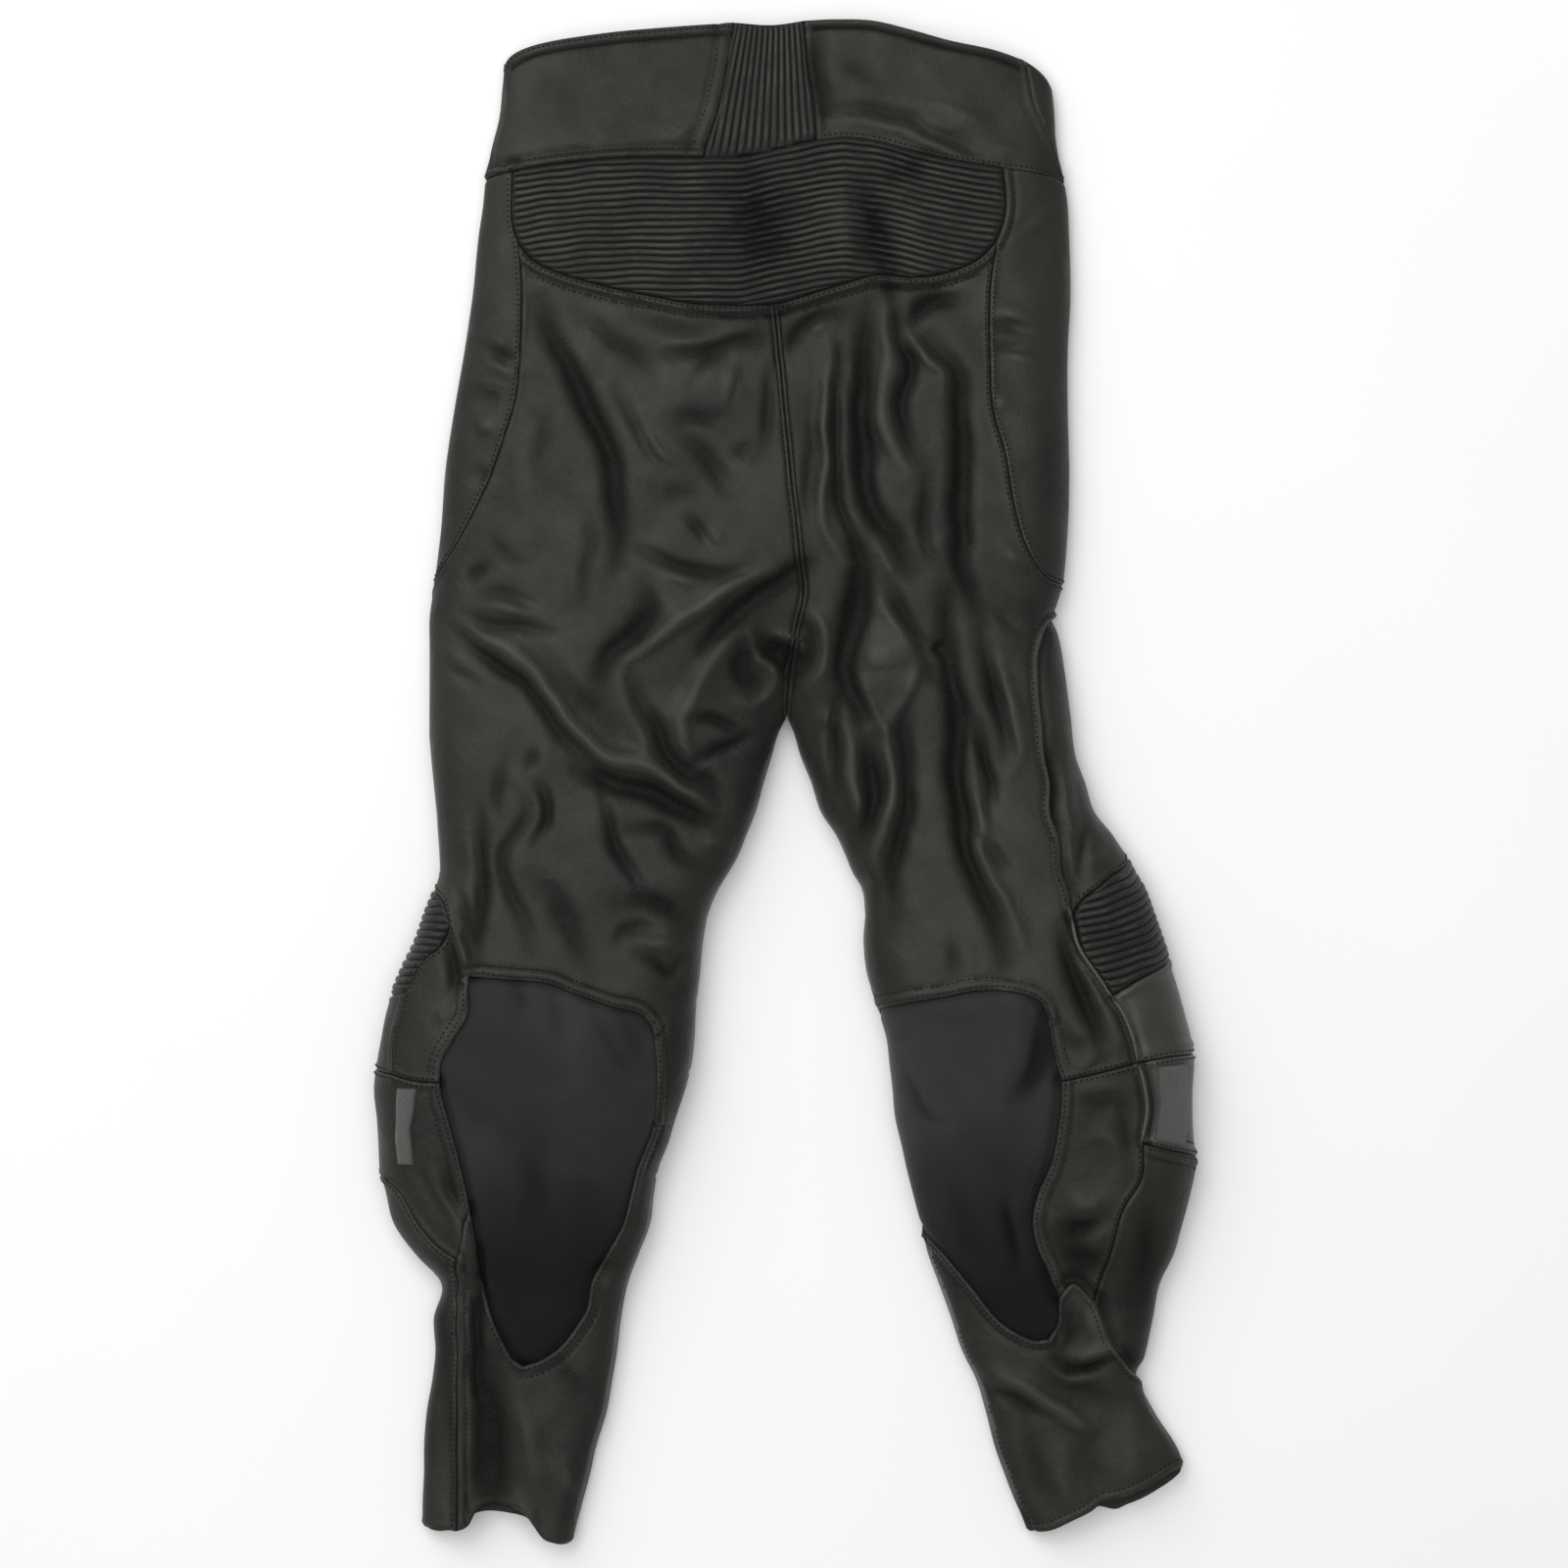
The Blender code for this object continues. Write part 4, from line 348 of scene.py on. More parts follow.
# Seams, once each: chart it is straight in, layer, points (a letter and a y is a side edge:
# L and R are the outer edges, l and r the inner ones)
seams = {
    "waistA": ("trunk", "top", "L 499", (-177, 510), (-144, 516), (-110, 520), (-76, 523),
        (-36, 525.5)),
    "waistB": ("trunk", "top", (-36, 525.5), (-8, 524), (13, 527)),
    "waistC": ("trunk", "top", (13, 527), (33, 528), (60, 527), (87, 521), (111, 514), (145, 507),
        (166, 500)),
    "waistD": ("trunkFar", "under", (166, 500, 1), "R 484", (150, 478), (90, 472), (-8, 470)),
    "waistE": ("trunk", "under", (-8, 470), (-90, 474), (-160, 486), "L 499"),
    "seamA": ("trunk", "top", "L 418", (-189, 423)),
    "seamB": ("trunk", "top", (-189, 423), (-164, 427), (-137, 430), (-103, 432), (-57, 432)),
    "seamC": ("trunk", "top", (-57, 432), (-28, 433), (-1, 439), (22, 444)),
    "seamD": ("trunk", "top", (22, 444), (40, 446), (60, 444), (87, 437), (111, 431), (150, 425)),
    "seamE": ("trunk", "top", (150, 425), "R 416"),
    "seamF": ("trunkFar", "under", "R 416", (172, 410)),
    "seamG": ("trunkFar", "under", (172, 410), (90, 404), (-7.4, 402)),
    "seamH": ("trunk", "under", (-7.4, 402), (-32, 402)),
    "seamI": ("trunk", "under", (-32, 402), (-100, 406), (-184, 412)),
    "seamJ": ("trunk", "under", (-184, 412), "L 418"),
    "waistRibLeft": ("trunk", "top", (-36, 525.5), (-57, 432)),
    "waistRibRight": ("trunk", "top", (13, 527), (17, 491), (22, 444)),
    "waistFrontSplit": ("trunk", "under", (-8, 470), (-7.4, 402)),
    "waistSideLeft": ("trunk", "edge", "L 499", "L 418"),
    "waistSideRight": ("trunk", "top", (166, 500), (171, 474), (180, 452), "R 416"),
    "yokeSideLeft": ("trunk", "top", (-189, 423), (-189, 388), (-184, 372)),
    "yokeArcLeft": ("trunk", "top", (-184, 372), (-175, 361), (-158, 352), (-132, 344),
        (-97, 336), (-54, 329), (-8, 329)),
    "yokeArcRight": ("trunk", "top", (-8, 329), (6, 333), (41, 344), (64, 350), (87, 348),
        (119, 354), (133, 361), (145, 373)),
    "yokeSideRight": ("trunk", "top", (145, 373), (150, 386), (150, 425)),
    "hipLeft": ("left", "top", (-184, 372), (-182, 340), (-183, 296), (-186, 265), (-193, 241),
        (-204, 210), (-215, 187), (-228, 164), "L 133"),
    "hipRight": ("right", "top", (145, 373), (141, 340), (141, 288), (142, 261), (151, 227),
        (157, 192), (164, 167), (174, 149), "R 136"),
    "hipFrontLeft": ("left", "under", "L 133", (-226, 200), (-206, 300), (-184, 412)),
    "hipFrontRight": ("rightFar", "under", (172, 410), (178, 300), (182, 200), "R 136"),
    "centreBack": ("trunk", "top", (-8, 329), (-6, 312), (-2, 270), (1.4, 236), (5, 201),
        (10, 154), (11, 122), (6, 95), (2, 68), "l 46"),
    "centreFront": ("trunk", "under", (-0.8, 258), (1.4, 236), (5, 201), (10, 154), (11, 122),
        (6, 95), (2, 68), "l 46"),
    "flyRight": ("trunk", "under", (-7.4, 402), (-7, 329), (-0.8, 258)),
    "flyLeft": ("trunk", "under", (-32, 402), (-30, 300), (-0.8, 258)),
    "outLeft": ("left", "edge", "L 133", "L -72"),
    "outRight": ("right", "edge", "R 136", "R 115"),
    "inLeftA": ("left", "edge", "l 46", "l -94"),
    "inLeftB": ("left", "edge", "l -94", "l -150"),
    "inLeftC": ("left", "edge", "l -150", "l -200"),
    "inLeftD": ("left", "edge", "l -200", "l -236"),
    "inLeftE": ("left", "edge", "l -236", "l -272"),
    "inLeftF": ("left", "edge", "l -272", "l -526"),
    "inRightA": ("right", "edge", "l 46", "r -92"),
    "inRightB": ("right", "edge", "r -92", "r -140"),
    "inRightC": ("right", "edge", "r -140", "r -157"),
    "inRightD": ("right", "edge", "r -308", "r -519"),
    "thighFrontLeft": ("left", "under", "L -72", (-150, -84), "l -94"),
    "thighFrontRight": ("rightFar", "under", "R -51", (160, -74), "r -92"),
    "ribSeamLeft": ("left", "top", "L -72", (-233, -88), (-231, -100), (-237, -112), (-248, -121),
        (-255, -132), (-261, -144)),
    "ribLowLeft": ("left", "top", (-261, -144), "L -147"),
    "ribLowUnderLeft": ("left", "under", "L -147", (-170, -150), "l -150"),
    "cupSeamLeft": ("left", "top", (-261, -144), (-265, -158), (-269, -172), (-270, -200)),
    "crossALeft": ("left", "top", (-270, -200), "L -197"),
    "crossBLeft": ("left", "top", (-270, -200), (-254, -204), (-237, -205)),
    "crossUnderLeft": ("left", "under", "L -197", (-170, -199), "l -200"),
    "shieldTopLeft": ("left", "top", (-216, -132), (-187, -135), (-164, -137), (-142, -145),
        (-119, -153), (-97, -160), (-91, -167)),
    "shieldALeft": ("left", "top", (-216, -132), (-218, -160), (-228, -177), (-236, -192),
        (-237, -205)),
    "shieldBLeft": ("left", "top", (-237, -205), (-228, -242), (-222, -267), (-217, -292)),
    "shieldCLeft": ("left", "top", (-217, -292), (-214.6, -302), (-213, -313), (-212, -322),
        (-211, -331), (-210, -340), (-208, -349), (-205.5, -358), (-202, -368), (-198, -378),
        (-193.5, -387.5), (-189, -396), (-181, -402)),
    "shieldDLeft": ("left", "top", (-91, -167), (-89, -184), (-88, -207), (-90, -236)),
    "shieldELeft": ("left", "top", (-90, -236), (-96, -252), (-104, -275), (-114, -309),
        (-125, -328), (-134, -345), (-137, -362), (-146, -377), (-157, -390), (-169, -398),
        (-181, -402)),
    "stripEndLeft": ("left", "top", (-90, -236), "l -236"),
    "shinTopLeft": ("left", "top", "L -270", (-264, -284), (-252, -304), (-240, -318),
        (-226, -328)),
    "shinUnderLeft": ("left", "under", "L -270", (-180, -272), "l -272"),
    "zipALeft": ("left", "top", (-217, -292), (-223, -315), (-226, -328)),
    "zipBLeft": ("left", "top", (-226, -328), (-226.5, -340), (-227, -353), (-227, -367),
        (-227, -384), (-227, -408), (-227, -437), (-227, -477), (-227, -517)),
    "hemShinLeft": ("left", "top", "L -515", (-242, -516), (-227, -517)),
    "hemCuffLeft": ("left", "top", (-227, -517), (-219, -513), (-214, -504), (-204, -499),
        (-190, -501), (-181, -505), (-174, -514), (-168, -522), (-159, -526), "l -526"),
    "hemUnderLeft": ("left", "under", "L -515", (-229, -517), (-216, -508), (-190, -508),
        (-182, -510), (-172, -518), (-162, -525), "l -526"),
    "overlapRight": ("right", "top", "R 115", (180, 108), (174, 88), (174, 68), (177, 34),
        (182, 0), (187, -34), (190, -62), (197, -91)),
    "ribTopRight": ("right", "top", (197, -91), (201, -83), (216, -70), "R -51"),
    "ribSeamRight": ("right", "top", (197, -91), (203, -114), (215, -132), (224, -145)),
    "ribLowRight": ("right", "top", (224, -145), (240, -136), "R -120"),
    "ribLowUnderRight": ("rightFar", "under", "R -120", (160, -132), "r -140"),
    "cupSeamRight": ("right", "top", (224, -145), (232, -157), (238, -172), (242, -191)),
    "crossARight": ("right", "top", (242, -191), (262, -188), "R -187"),
    "crossBRight": ("right", "top", (189, -204), (215, -198), (242, -191)),
    "crossUnderRight": ("rightFar", "under", "R -187", (180, -189), (90, -190)),
    "slideSeamRight": ("right", "top", (242, -191), (247, -208), (249, -222), (245, -247)),
    "bandRight": ("right", "top", (245, -247), (264, -252), "R -259"),
    "bandUnderRight": ("rightFar", "under", "R -259", (190, -258), (100, -256)),
    "shinSeamRight": ("right", "top", (245, -247), (243, -274), (232, -292), (225, -318),
        (216, -344), (213, -357)),
    "shieldTopRight": ("right", "top", "r -157", (89, -150), (111, -146), (132, -142),
        (152, -142), (165, -145), (175, -151), (179, -160)),
    "shieldARight": ("right", "top", (179, -160), (181, -172), (184, -188), (189, -204)),
    "shieldBRight": ("right", "top", (189, -204), (188, -225), (183, -258), (173, -284),
        (170, -302), (174, -321), (181, -336), (188, -354)),
    "shieldCRight": ("right", "top", (188, -354), (187, -372), (181, -383)),
    "shieldDRight": ("right", "top", "r -308", (110, -326), (128, -347), (147, -370), (162, -380),
        (173, -384), (181, -383)),
    "shieldUnderA": ("right", "under", "r -157", (90, -190)),
    "shieldUnderB": ("right", "under", (90, -190), (94, -222), (100, -256)),
    "shieldUnderC": ("right", "under", (100, -256), (108, -288), "r -308"),
    "cuffARight": ("right", "top", (188, -354), (197, -344), (213, -357)),
    "cuffBRight": ("right", "top", (213, -357), (223, -383), (236, -402), "R -414"),
    "outCuffRight": ("right", "edge", "R -414", "R -472"),
    "hemTopRight": ("right", "top", "r -519", (186, -516), (200, -509), (210, -504), (220, -497),
        (232, -494), (249, -487), (263, -479), "R -472"),
    "hemUnderRight": ("rightFar", "under", "R -472", (272, -482), (261, -490), (247, -498),
        (237, -502), (230, -505), (218, -503), (205, -508), (186, -516), "r -519"),
}

# Points of the waist seam over the back, which the yoke's ribs follow
waistSeam = seams["seamB"][2:] + seams["seamC"][3:] + seams["seamD"][3:]

# Outlines of the two loop pile patches at the knees
sliderLeft = ((-266, -209), (-252, -209), (-254, -223), (-257, -237), (-255, -262), (-266, -262),
              (-268, -245), (-267, -227))
sliderRight = ((254, -194), (276, -193), (277, -215), (277, -238), (274, -250), (253, -245),
               (256, -220))

# What a panel has unless it says otherwise
plainPanel = {"wall": 1.4, "finish": "leather", "lift": 0.0, "ribHeight": 1.8,
              "plainAt": 3.0}   # beyond any cosine, so that no side of the tube is left plain

# Panels by CAD node: wall, finish, seams round them and what stands up or sinks beside a seam
# (seam, distance from it, height, half width)
panels = {
    "waistband_back_left": {
        "chart": "trunk", "wall": 2.4, "finish": "leather", "lies": 1,
        "round": "-waistA waistSideLeft seamA seamB -waistRibLeft",
        "shape": [("waistA", 3.8, 1.0, 3.2), ("waistA", 8.4, -1.3, 1.4),
            ("waistRibLeft", 4.8, 0.9, 3.6), ("waistRibLeft", 10.0, -1.4, 1.4),
            ("seamB", 2.6, 1.7, 1.6), ("seamB", 7.6, -1.5, 2.2), ("seamA", 2.6, 1.7, 1.6),
            ("seamA", 7.6, -1.5, 2.2)]},
    "waist_ribs": {
        "chart": "trunk", "wall": 1.2, "finish": "ribbed_leather", "lies": 1,
        "ribHeight": 1.2,
        "round": "-waistB waistRibLeft seamC -waistRibRight"},
    "waistband_back_right": {
        "chart": "trunk", "wall": 2.4, "finish": "leather", "lies": 1,
        "round": "-waistC waistRibRight seamD seamE -waistSideRight",
        "shape": [("waistC", 2.6, 1.3, 2.0), ("waistC", 6.2, -1.4, 1.3),
            ("waistSideRight", 2.4, 0.9, 1.6)]},
    "waistband_front_right": {
        "chart": "trunkFar", "wall": 2.4, "finish": "leather", "lies": -1,
        "round": "-waistD waistSideRight seamF seamG -waistFrontSplit"},
    "waistband_front_left": {
        "chart": "trunk", "wall": 2.4, "finish": "leather", "lies": -1,
        "round": "-waistE waistFrontSplit seamH seamI seamJ -waistSideLeft"},
    "yoke_ribs": {
        "chart": "trunk", "wall": 1.2, "finish": "ribbed_leather", "lies": 1,
        "ribHeight": 1.6,
        "round": "-seamD -seamC -seamB yokeSideLeft yokeArcLeft yokeArcRight yokeSideRight"},
    "hip_left": {
        "chart": "left", "lies": 1,
        "round": "-seamA -seamJ -hipFrontLeft -hipLeft -yokeSideLeft",
        "shape": [("hipLeft", 2.4, 0.7, 1.6), ("yokeSideLeft", 2.4, 0.7, 1.6)]},
    "hip_right": {
        "chart": "rightFar", "lies": 1,
        "round": "-seamE -yokeSideRight hipRight -hipFrontRight -seamF",
        "shape": [("hipRight", 2.4, 0.9, 1.6), ("yokeSideRight", 2.6, 1.0, 1.8),
            ("yokeSideRight", 7.0, -1.2, 1.4)]},
    "seat_left": {
        "chart": "left", "lies": 1,
        "round": "-yokeArcLeft hipLeft outLeft ribSeamLeft cupSeamLeft crossBLeft -shieldALeft "
              "shieldTopLeft shieldDLeft stripEndLeft -inLeftD -inLeftC -inLeftB -inLeftA "
              "-centreBack",
        "shape": [("yokeArcLeft", 3.0, 2.5, 2.2), ("yokeArcLeft", 7.4, -1.6, 1.7),
            ("centreBack", 1.6, 0.9, 1.0), ("centreBack", 3.4, -0.8, 1.0),
            ("hipLeft", 2.2, 0.8, 1.5), ("shieldTopLeft", 4.4, 1.0, 2.4),
            ("shieldTopLeft", 8.2, -1.0, 1.3), ("shieldDLeft", 4.6, 0.8, 2.4),
            ("shieldALeft", 4.6, 0.8, 2.4), ("crossBLeft", 2.5, 1.1, 1.5),
            ("ribSeamLeft", 1.8, 1.1, 1.5), ("cupSeamLeft", 1.8, 1.0, 1.5)]},
    "seat_right": {
        "chart": "right", "lies": 1,
        "round": "-yokeArcRight centreBack inRightA inRightB inRightC shieldTopRight shieldARight "
              "crossBRight -cupSeamRight -ribSeamRight -overlapRight -outRight -hipRight",
        "shape": [("yokeArcRight", 3.0, 2.5, 2.2), ("yokeArcRight", 7.4, -1.6, 1.7),
            ("centreBack", 1.6, 0.9, 1.0), ("centreBack", 3.4, -0.8, 1.0),
            ("hipRight", 2.2, 0.8, 1.5), ("shieldTopRight", 4.6, 1.0, 2.6),
            ("shieldTopRight", 8.6, -1.0, 1.3), ("shieldARight", 4.6, 0.8, 2.4),
            ("crossBRight", 2.4, 0.9, 1.4), ("ribSeamRight", 1.9, 2.0, 1.4),
            ("ribSeamRight", 4.6, -1.3, 1.5), ("cupSeamRight", 1.9, 2.0, 1.4),
            ("cupSeamRight", 4.6, -1.3, 1.5), ("overlapRight", 1.8, 1.6, 1.7),
            ("overlapRight", 5.4, -0.8, 1.4)]},
    "fly": {
        "chart": "left", "lies": -1,
        "round": "-seamH flyRight -flyLeft"},
    "front_left": {
        "chart": "left", "lies": -1,
        "round": "-seamI flyLeft centreFront inLeftA -thighFrontLeft -outLeft hipFrontLeft"},
    "front_right": {
        "chart": "rightFar", "lies": -1,
        "round": "-seamG hipFrontRight outRight overlapRight ribTopRight thighFrontRight "
              "-inRightA -centreFront -flyRight",
        "shape": [("overlapRight", 2.6, -2.6, 3.6), ("ribTopRight", 2.4, 1.2, 1.7)]},
    "knee_ribs_left": {
        "chart": "left", "wall": 1.2, "finish": "ribbed_leather", "lies": -1,
        "plainAt": -1.0,   # the ribs die away at the inner edge
        "round": "thighFrontLeft inLeftB -ribLowUnderLeft -ribLowLeft -ribSeamLeft"},
    "knee_cup_left": {
        "chart": "left", "lies": -1,
        "round": "ribLowLeft ribLowUnderLeft inLeftC -crossUnderLeft -crossALeft -cupSeamLeft",
        "shape": [("ribLowLeft", 2.6, 0.9, 1.8), ("crossALeft", 2.4, 0.9, 1.5),
            ("cupSeamLeft", 2.0, 0.8, 1.4)]},
    "knee_cup_lower_left": {
        "chart": "left", "lies": -1,
        "round": "-crossBLeft crossALeft crossUnderLeft inLeftD inLeftE -shinUnderLeft "
              "shinTopLeft -zipALeft -shieldBLeft",
        "shape": [("crossALeft", 2.4, 0.9, 1.5), ("crossBLeft", 2.5, 1.1, 1.5),
            ("shieldBLeft", 4.6, 0.8, 2.4), ("shinTopLeft", 2.2, 1.0, 1.5)]},
    "slider_patch_left": {
        "chart": "left", "wall": 1.6, "finish": "loop_fabric", "lies": 1, "lift": 1.9,
        "round": "", "spots": sliderLeft},
    "shield_left": {
        "chart": "left", "wall": 1.2, "finish": "stretch_fabric", "lies": 1,
        "round": "shieldTopLeft shieldDLeft shieldELeft -shieldCLeft -shieldBLeft -shieldALeft",
        "shape": [("shieldTopLeft", 2.2, -1.8, 2.8), ("shieldBLeft", 2.6, -2.4, 3.4),
            ("shieldCLeft", 2.6, -2.2, 3.4), ("shieldALeft", 2.4, -1.2, 3.0),
            ("shieldELeft", 2.2, -1.4, 3.0)]},
    "shin_left": {
        "chart": "left", "lies": -1,
        "round": "-shinTopLeft shinUnderLeft inLeftF -hemUnderLeft hemShinLeft -zipBLeft",
        "shape": [("zipBLeft", 2.0, 1.1, 1.4), ("zipBLeft", 5.0, -0.7, 1.4),
            ("shinTopLeft", 2.2, 1.2, 1.5), ("hemShinLeft", 3.0, 0.6, 2.4)]},
    "cuff_left": {
        "chart": "left", "lies": 1,
        "round": "shieldCLeft -shieldELeft stripEndLeft inLeftE inLeftF -hemCuffLeft -zipBLeft "
              "-zipALeft",
        "shape": [("zipALeft", 2.4, 0.9, 1.6), ("zipBLeft", 3.0, 1.2, 2.0),
            ("zipBLeft", 6.8, -0.9, 1.4), ("shieldCLeft", 2.2, 0.9, 1.6),
            ("shieldELeft", 2.0, 0.9, 1.5), ("shieldELeft", 7.6, -0.8, 1.2),
            ("hemCuffLeft", 3.0, 0.6, 2.4)]},
    "knee_ribs_right": {
        "chart": "rightFar", "wall": 1.2, "finish": "ribbed_leather", "lies": -1,
        "plainAt": 1.0,
        "round": "ribTopRight thighFrontRight inRightB -ribLowUnderRight -ribLowRight "
              "-ribSeamRight"},
    "knee_cup_right": {
        "chart": "rightFar", "finish": "knee_leather", "lies": -1,
        "round": "ribLowRight ribLowUnderRight inRightC shieldUnderA -crossUnderRight "
              "-crossARight -cupSeamRight",
        "shape": [("ribLowRight", 3.4, 1.5, 2.4), ("crossARight", 2.6, 0.8, 1.6),
            ("crossARight", 6.8, 1.3, 2.2), ("cupSeamRight", 3.2, -1.6, 2.6)]},
    "knee_cup_lower_right": {
        "chart": "rightFar", "finish": "knee_leather", "lies": -1,
        "round": "crossARight crossUnderRight shieldUnderB -bandUnderRight -bandRight "
              "-slideSeamRight",
        "shape": [("crossARight", 2.6, 1.0, 1.6), ("slideSeamRight", 4.2, -3.0, 3.6),
            ("bandRight", 3.4, 2.0, 2.2)]},
    "slider_patch_right": {
        "chart": "right", "wall": 1.6, "finish": "loop_fabric", "lies": 1, "lift": 1.9,
        "round": "", "spots": sliderRight},
    "calf_side_right": {
        "chart": "right", "lies": 1,
        "round": "-crossBRight shieldBRight cuffARight -shinSeamRight -slideSeamRight",
        "shape": [("slideSeamRight", 1.9, 2.0, 1.4), ("slideSeamRight", 4.6, -1.2, 1.5),
            ("crossBRight", 2.4, 0.9, 1.4), ("shieldBRight", 4.6, 1.0, 2.6),
            ("shieldBRight", 9.0, -0.7, 1.3), ("shinSeamRight", 2.2, 0.9, 1.5),
            ("cuffARight", 3.0, -2.4, 4.0)]},
    "shield_right": {
        "chart": "right", "wall": 1.2, "finish": "stretch_fabric", "lies": 1,
        "round": "shieldTopRight shieldARight shieldBRight shieldCRight -shieldDRight "
              "-shieldUnderC -shieldUnderB -shieldUnderA",
        "shape": [("shieldTopRight", 2.2, -1.8, 2.8), ("shieldARight", 2.4, -1.6, 3.0),
            ("shieldBRight", 3.2, -2.8, 4.4), ("shieldDRight", 2.2, -1.2, 2.8)]},
    "shin_right": {
        "chart": "rightFar", "lies": -1,
        "round": "bandRight bandUnderRight shieldUnderC inRightD -hemUnderRight -outCuffRight "
              "-cuffBRight -shinSeamRight",
        "shape": [("bandRight", 3.8, 2.0, 2.4), ("bandRight", 8.2, -1.4, 1.3),
            ("shinSeamRight", 2.0, 1.2, 1.5), ("cuffBRight", 4.0, -3.2, 5.0)]},
    "cuff_right": {
        "chart": "right", "lies": 1,
        "round": "shieldDRight -shieldCRight cuffARight cuffBRight outCuffRight -hemTopRight "
              "-inRightD",
        "shape": [("shieldCRight", 1.8, 1.5, 1.4), ("shieldDRight", 2.0, 0.9, 1.5),
            ("shieldDRight", 7.4, -0.8, 1.2), ("cuffARight", 2.2, 1.2, 1.8),
            ("cuffBRight", 2.2, 1.3, 1.8), ("inRightD", 3.0, 0.8, 2.2),
            ("inRightD", 7.0, -0.9, 1.3), ("hemTopRight", 3.0, 0.6, 2.2)]},
}

# Sizes in mm of a stitch and of the groove that a row pulls into the leather, how much nearer
# than its row another seam may be, and the height that rows end at
stitching = {"pitch": 3.7, "length": 2.6, "thread": 1.05, "sunk": 0.35, "spread": 1.0,
             "sides": 5, "ringAt": 0.55, "raised": 0.12, "tipDepth": 0.28, "slack": 0.4, "above": 4}

# Rows of stitches by panel: the seam that a row follows, and its distances from it
stitchRows = {
    "Waist": {
        "waistband_back_left": [("waistA", 2.6, 8.6), ("waistRibLeft", 8.6), ("seamB", 6.2),
            ("seamA", 6.2)],
        "waistband_back_right": [("waistC", 6.2), ("seamD", 2.6), ("seamE", 2.6)],
        "hip_left": [("yokeSideLeft", 2.6), ("hipLeft", 2.6)],
        "hip_right": [("yokeSideRight", 6.2), ("hipRight", 2.6)],
        "seat_left": [("yokeArcLeft", 2.6, 8.6), ("centreBack", 2.6)],
        "seat_right": [("yokeArcRight", 2.6, 8.6), ("centreBack", 2.6), ("hipRight", 2.6),
            ("overlapRight", 4.2)]},
    "LeftLeg": {
        "seat_left": [("shieldTopLeft", 2.6, 8.6), ("shieldALeft", 4.2, 8.6),
            ("shieldDLeft", 8.6, 2.6), ("ribSeamLeft", 2.6), ("cupSeamLeft", 2.6),
            ("crossBLeft", 2.6)],
        "knee_cup_lower_left": [("crossBLeft", 2.6), ("crossALeft", 2.6),
            ("shieldBLeft", 2.6, 8.6)],
        "knee_cup_left": [("crossALeft", 2.6)],
        "cuff_left": [("shieldCLeft", 2.6), ("shieldELeft", 2.6, 8.6), ("zipBLeft", 6.2)],
        "shin_left": [("shinTopLeft", 2.6), ("zipBLeft", 2.6)]},
    "RightLeg": {
        "seat_right": [("shieldTopRight", 2.6, 8.6), ("shieldARight", 8.6, 2.6),
            ("crossBRight", 2.6), ("ribSeamRight", 2.6), ("cupSeamRight", 2.6)],
        "calf_side_right": [("crossBRight", 2.6), ("shieldBRight", 2.6, 8.6),
            ("shinSeamRight", 2.6)],
        "knee_cup_right": [("crossARight", 2.6)],
        "knee_cup_lower_right": [("crossARight", 2.6), ("bandRight", 8.6, 2.6)],
        "shin_right": [("bandRight", 2.6)],
        "front_right": [("ribTopRight", 2.6)],
        "cuff_right": [("shieldDRight", 2.6, 6.2), ("cuffBRight", 4.2), ("inRightD", 8.6),
            ("hemTopRight", 6.2)]},
}

# Seams with a piped edge: the panel that it is sewn to, and the seam
pipedSeams = (("seat_right", "ribSeamRight"), ("seat_right", "cupSeamRight"),
              ("calf_side_right", "slideSeamRight"))

# Cut of each panel in metres: width, length, area, and what it lies on
cuts = {
    "waistband_back_left": (0.162, 0.107, 0.0150, "waistband_front_left"),
    "waist_ribs": (0.100, 0.095, 0.0082, "waistband_front_left"),
    "waistband_back_right": (0.166, 0.112, 0.0140, "waistband_front_right"),
    "waistband_front_right": (0.219, 0.098, 0.0148, "table"),
    "waistband_front_left": (0.206, 0.097, 0.0143, "table"),
    "yoke_ribs": (0.345, 0.150, 0.0440, "front_left"),
    "hip_left": (0.076, 0.290, 0.0170, "front_left"),
    "hip_right": (0.093, 0.289, 0.0223, "front_right"),
    "seat_left": (0.276, 0.608, 0.1219, "front_left"),
    "seat_right": (0.197, 0.577, 0.0903, "front_right"),
    "fly": (0.028, 0.144, 0.0032, "table"),
    "front_left": (0.264, 0.506, 0.1087, "table"),
    "front_right": (0.295, 0.502, 0.0998, "table"),
    "knee_ribs_left": (0.261, 0.100, 0.0190, "table"),
    "knee_cup_left": (0.273, 0.056, 0.0134, "table"),
    "knee_cup_lower_left": (0.310, 0.131, 0.0240, "table"),
    "slider_patch_left": (0.016, 0.053, 0.0007, "knee_cup_lower_left"),
    "shield_left": (0.152, 0.270, 0.0285, "shin_left"),
    "shin_left": (0.236, 0.257, 0.0450, "table"),
    "cuff_left": (0.144, 0.291, 0.0208, "shin_left"),
    "knee_ribs_right": (0.310, 0.115, 0.0208, "table"),
    "knee_cup_right": (0.303, 0.071, 0.0169, "table"),
    "knee_cup_lower_right": (0.265, 0.072, 0.0175, "table"),
    "slider_patch_right": (0.030, 0.057, 0.0016, "knee_cup_lower_right"),
    "calf_side_right": (0.070, 0.166, 0.0091, "shin_right"),
    "shield_right": (0.169, 0.243, 0.0283, "shin_right"),
    "shin_right": (0.261, 0.272, 0.0473, "table"),
    "cuff_right": (0.143, 0.211, 0.0195, "shin_right"),
}


def unit(vectors):
    # Each row divided by its own length
    return vectors / np.maximum(np.linalg.norm(vectors, axis=1), 1e-9)[:, None]


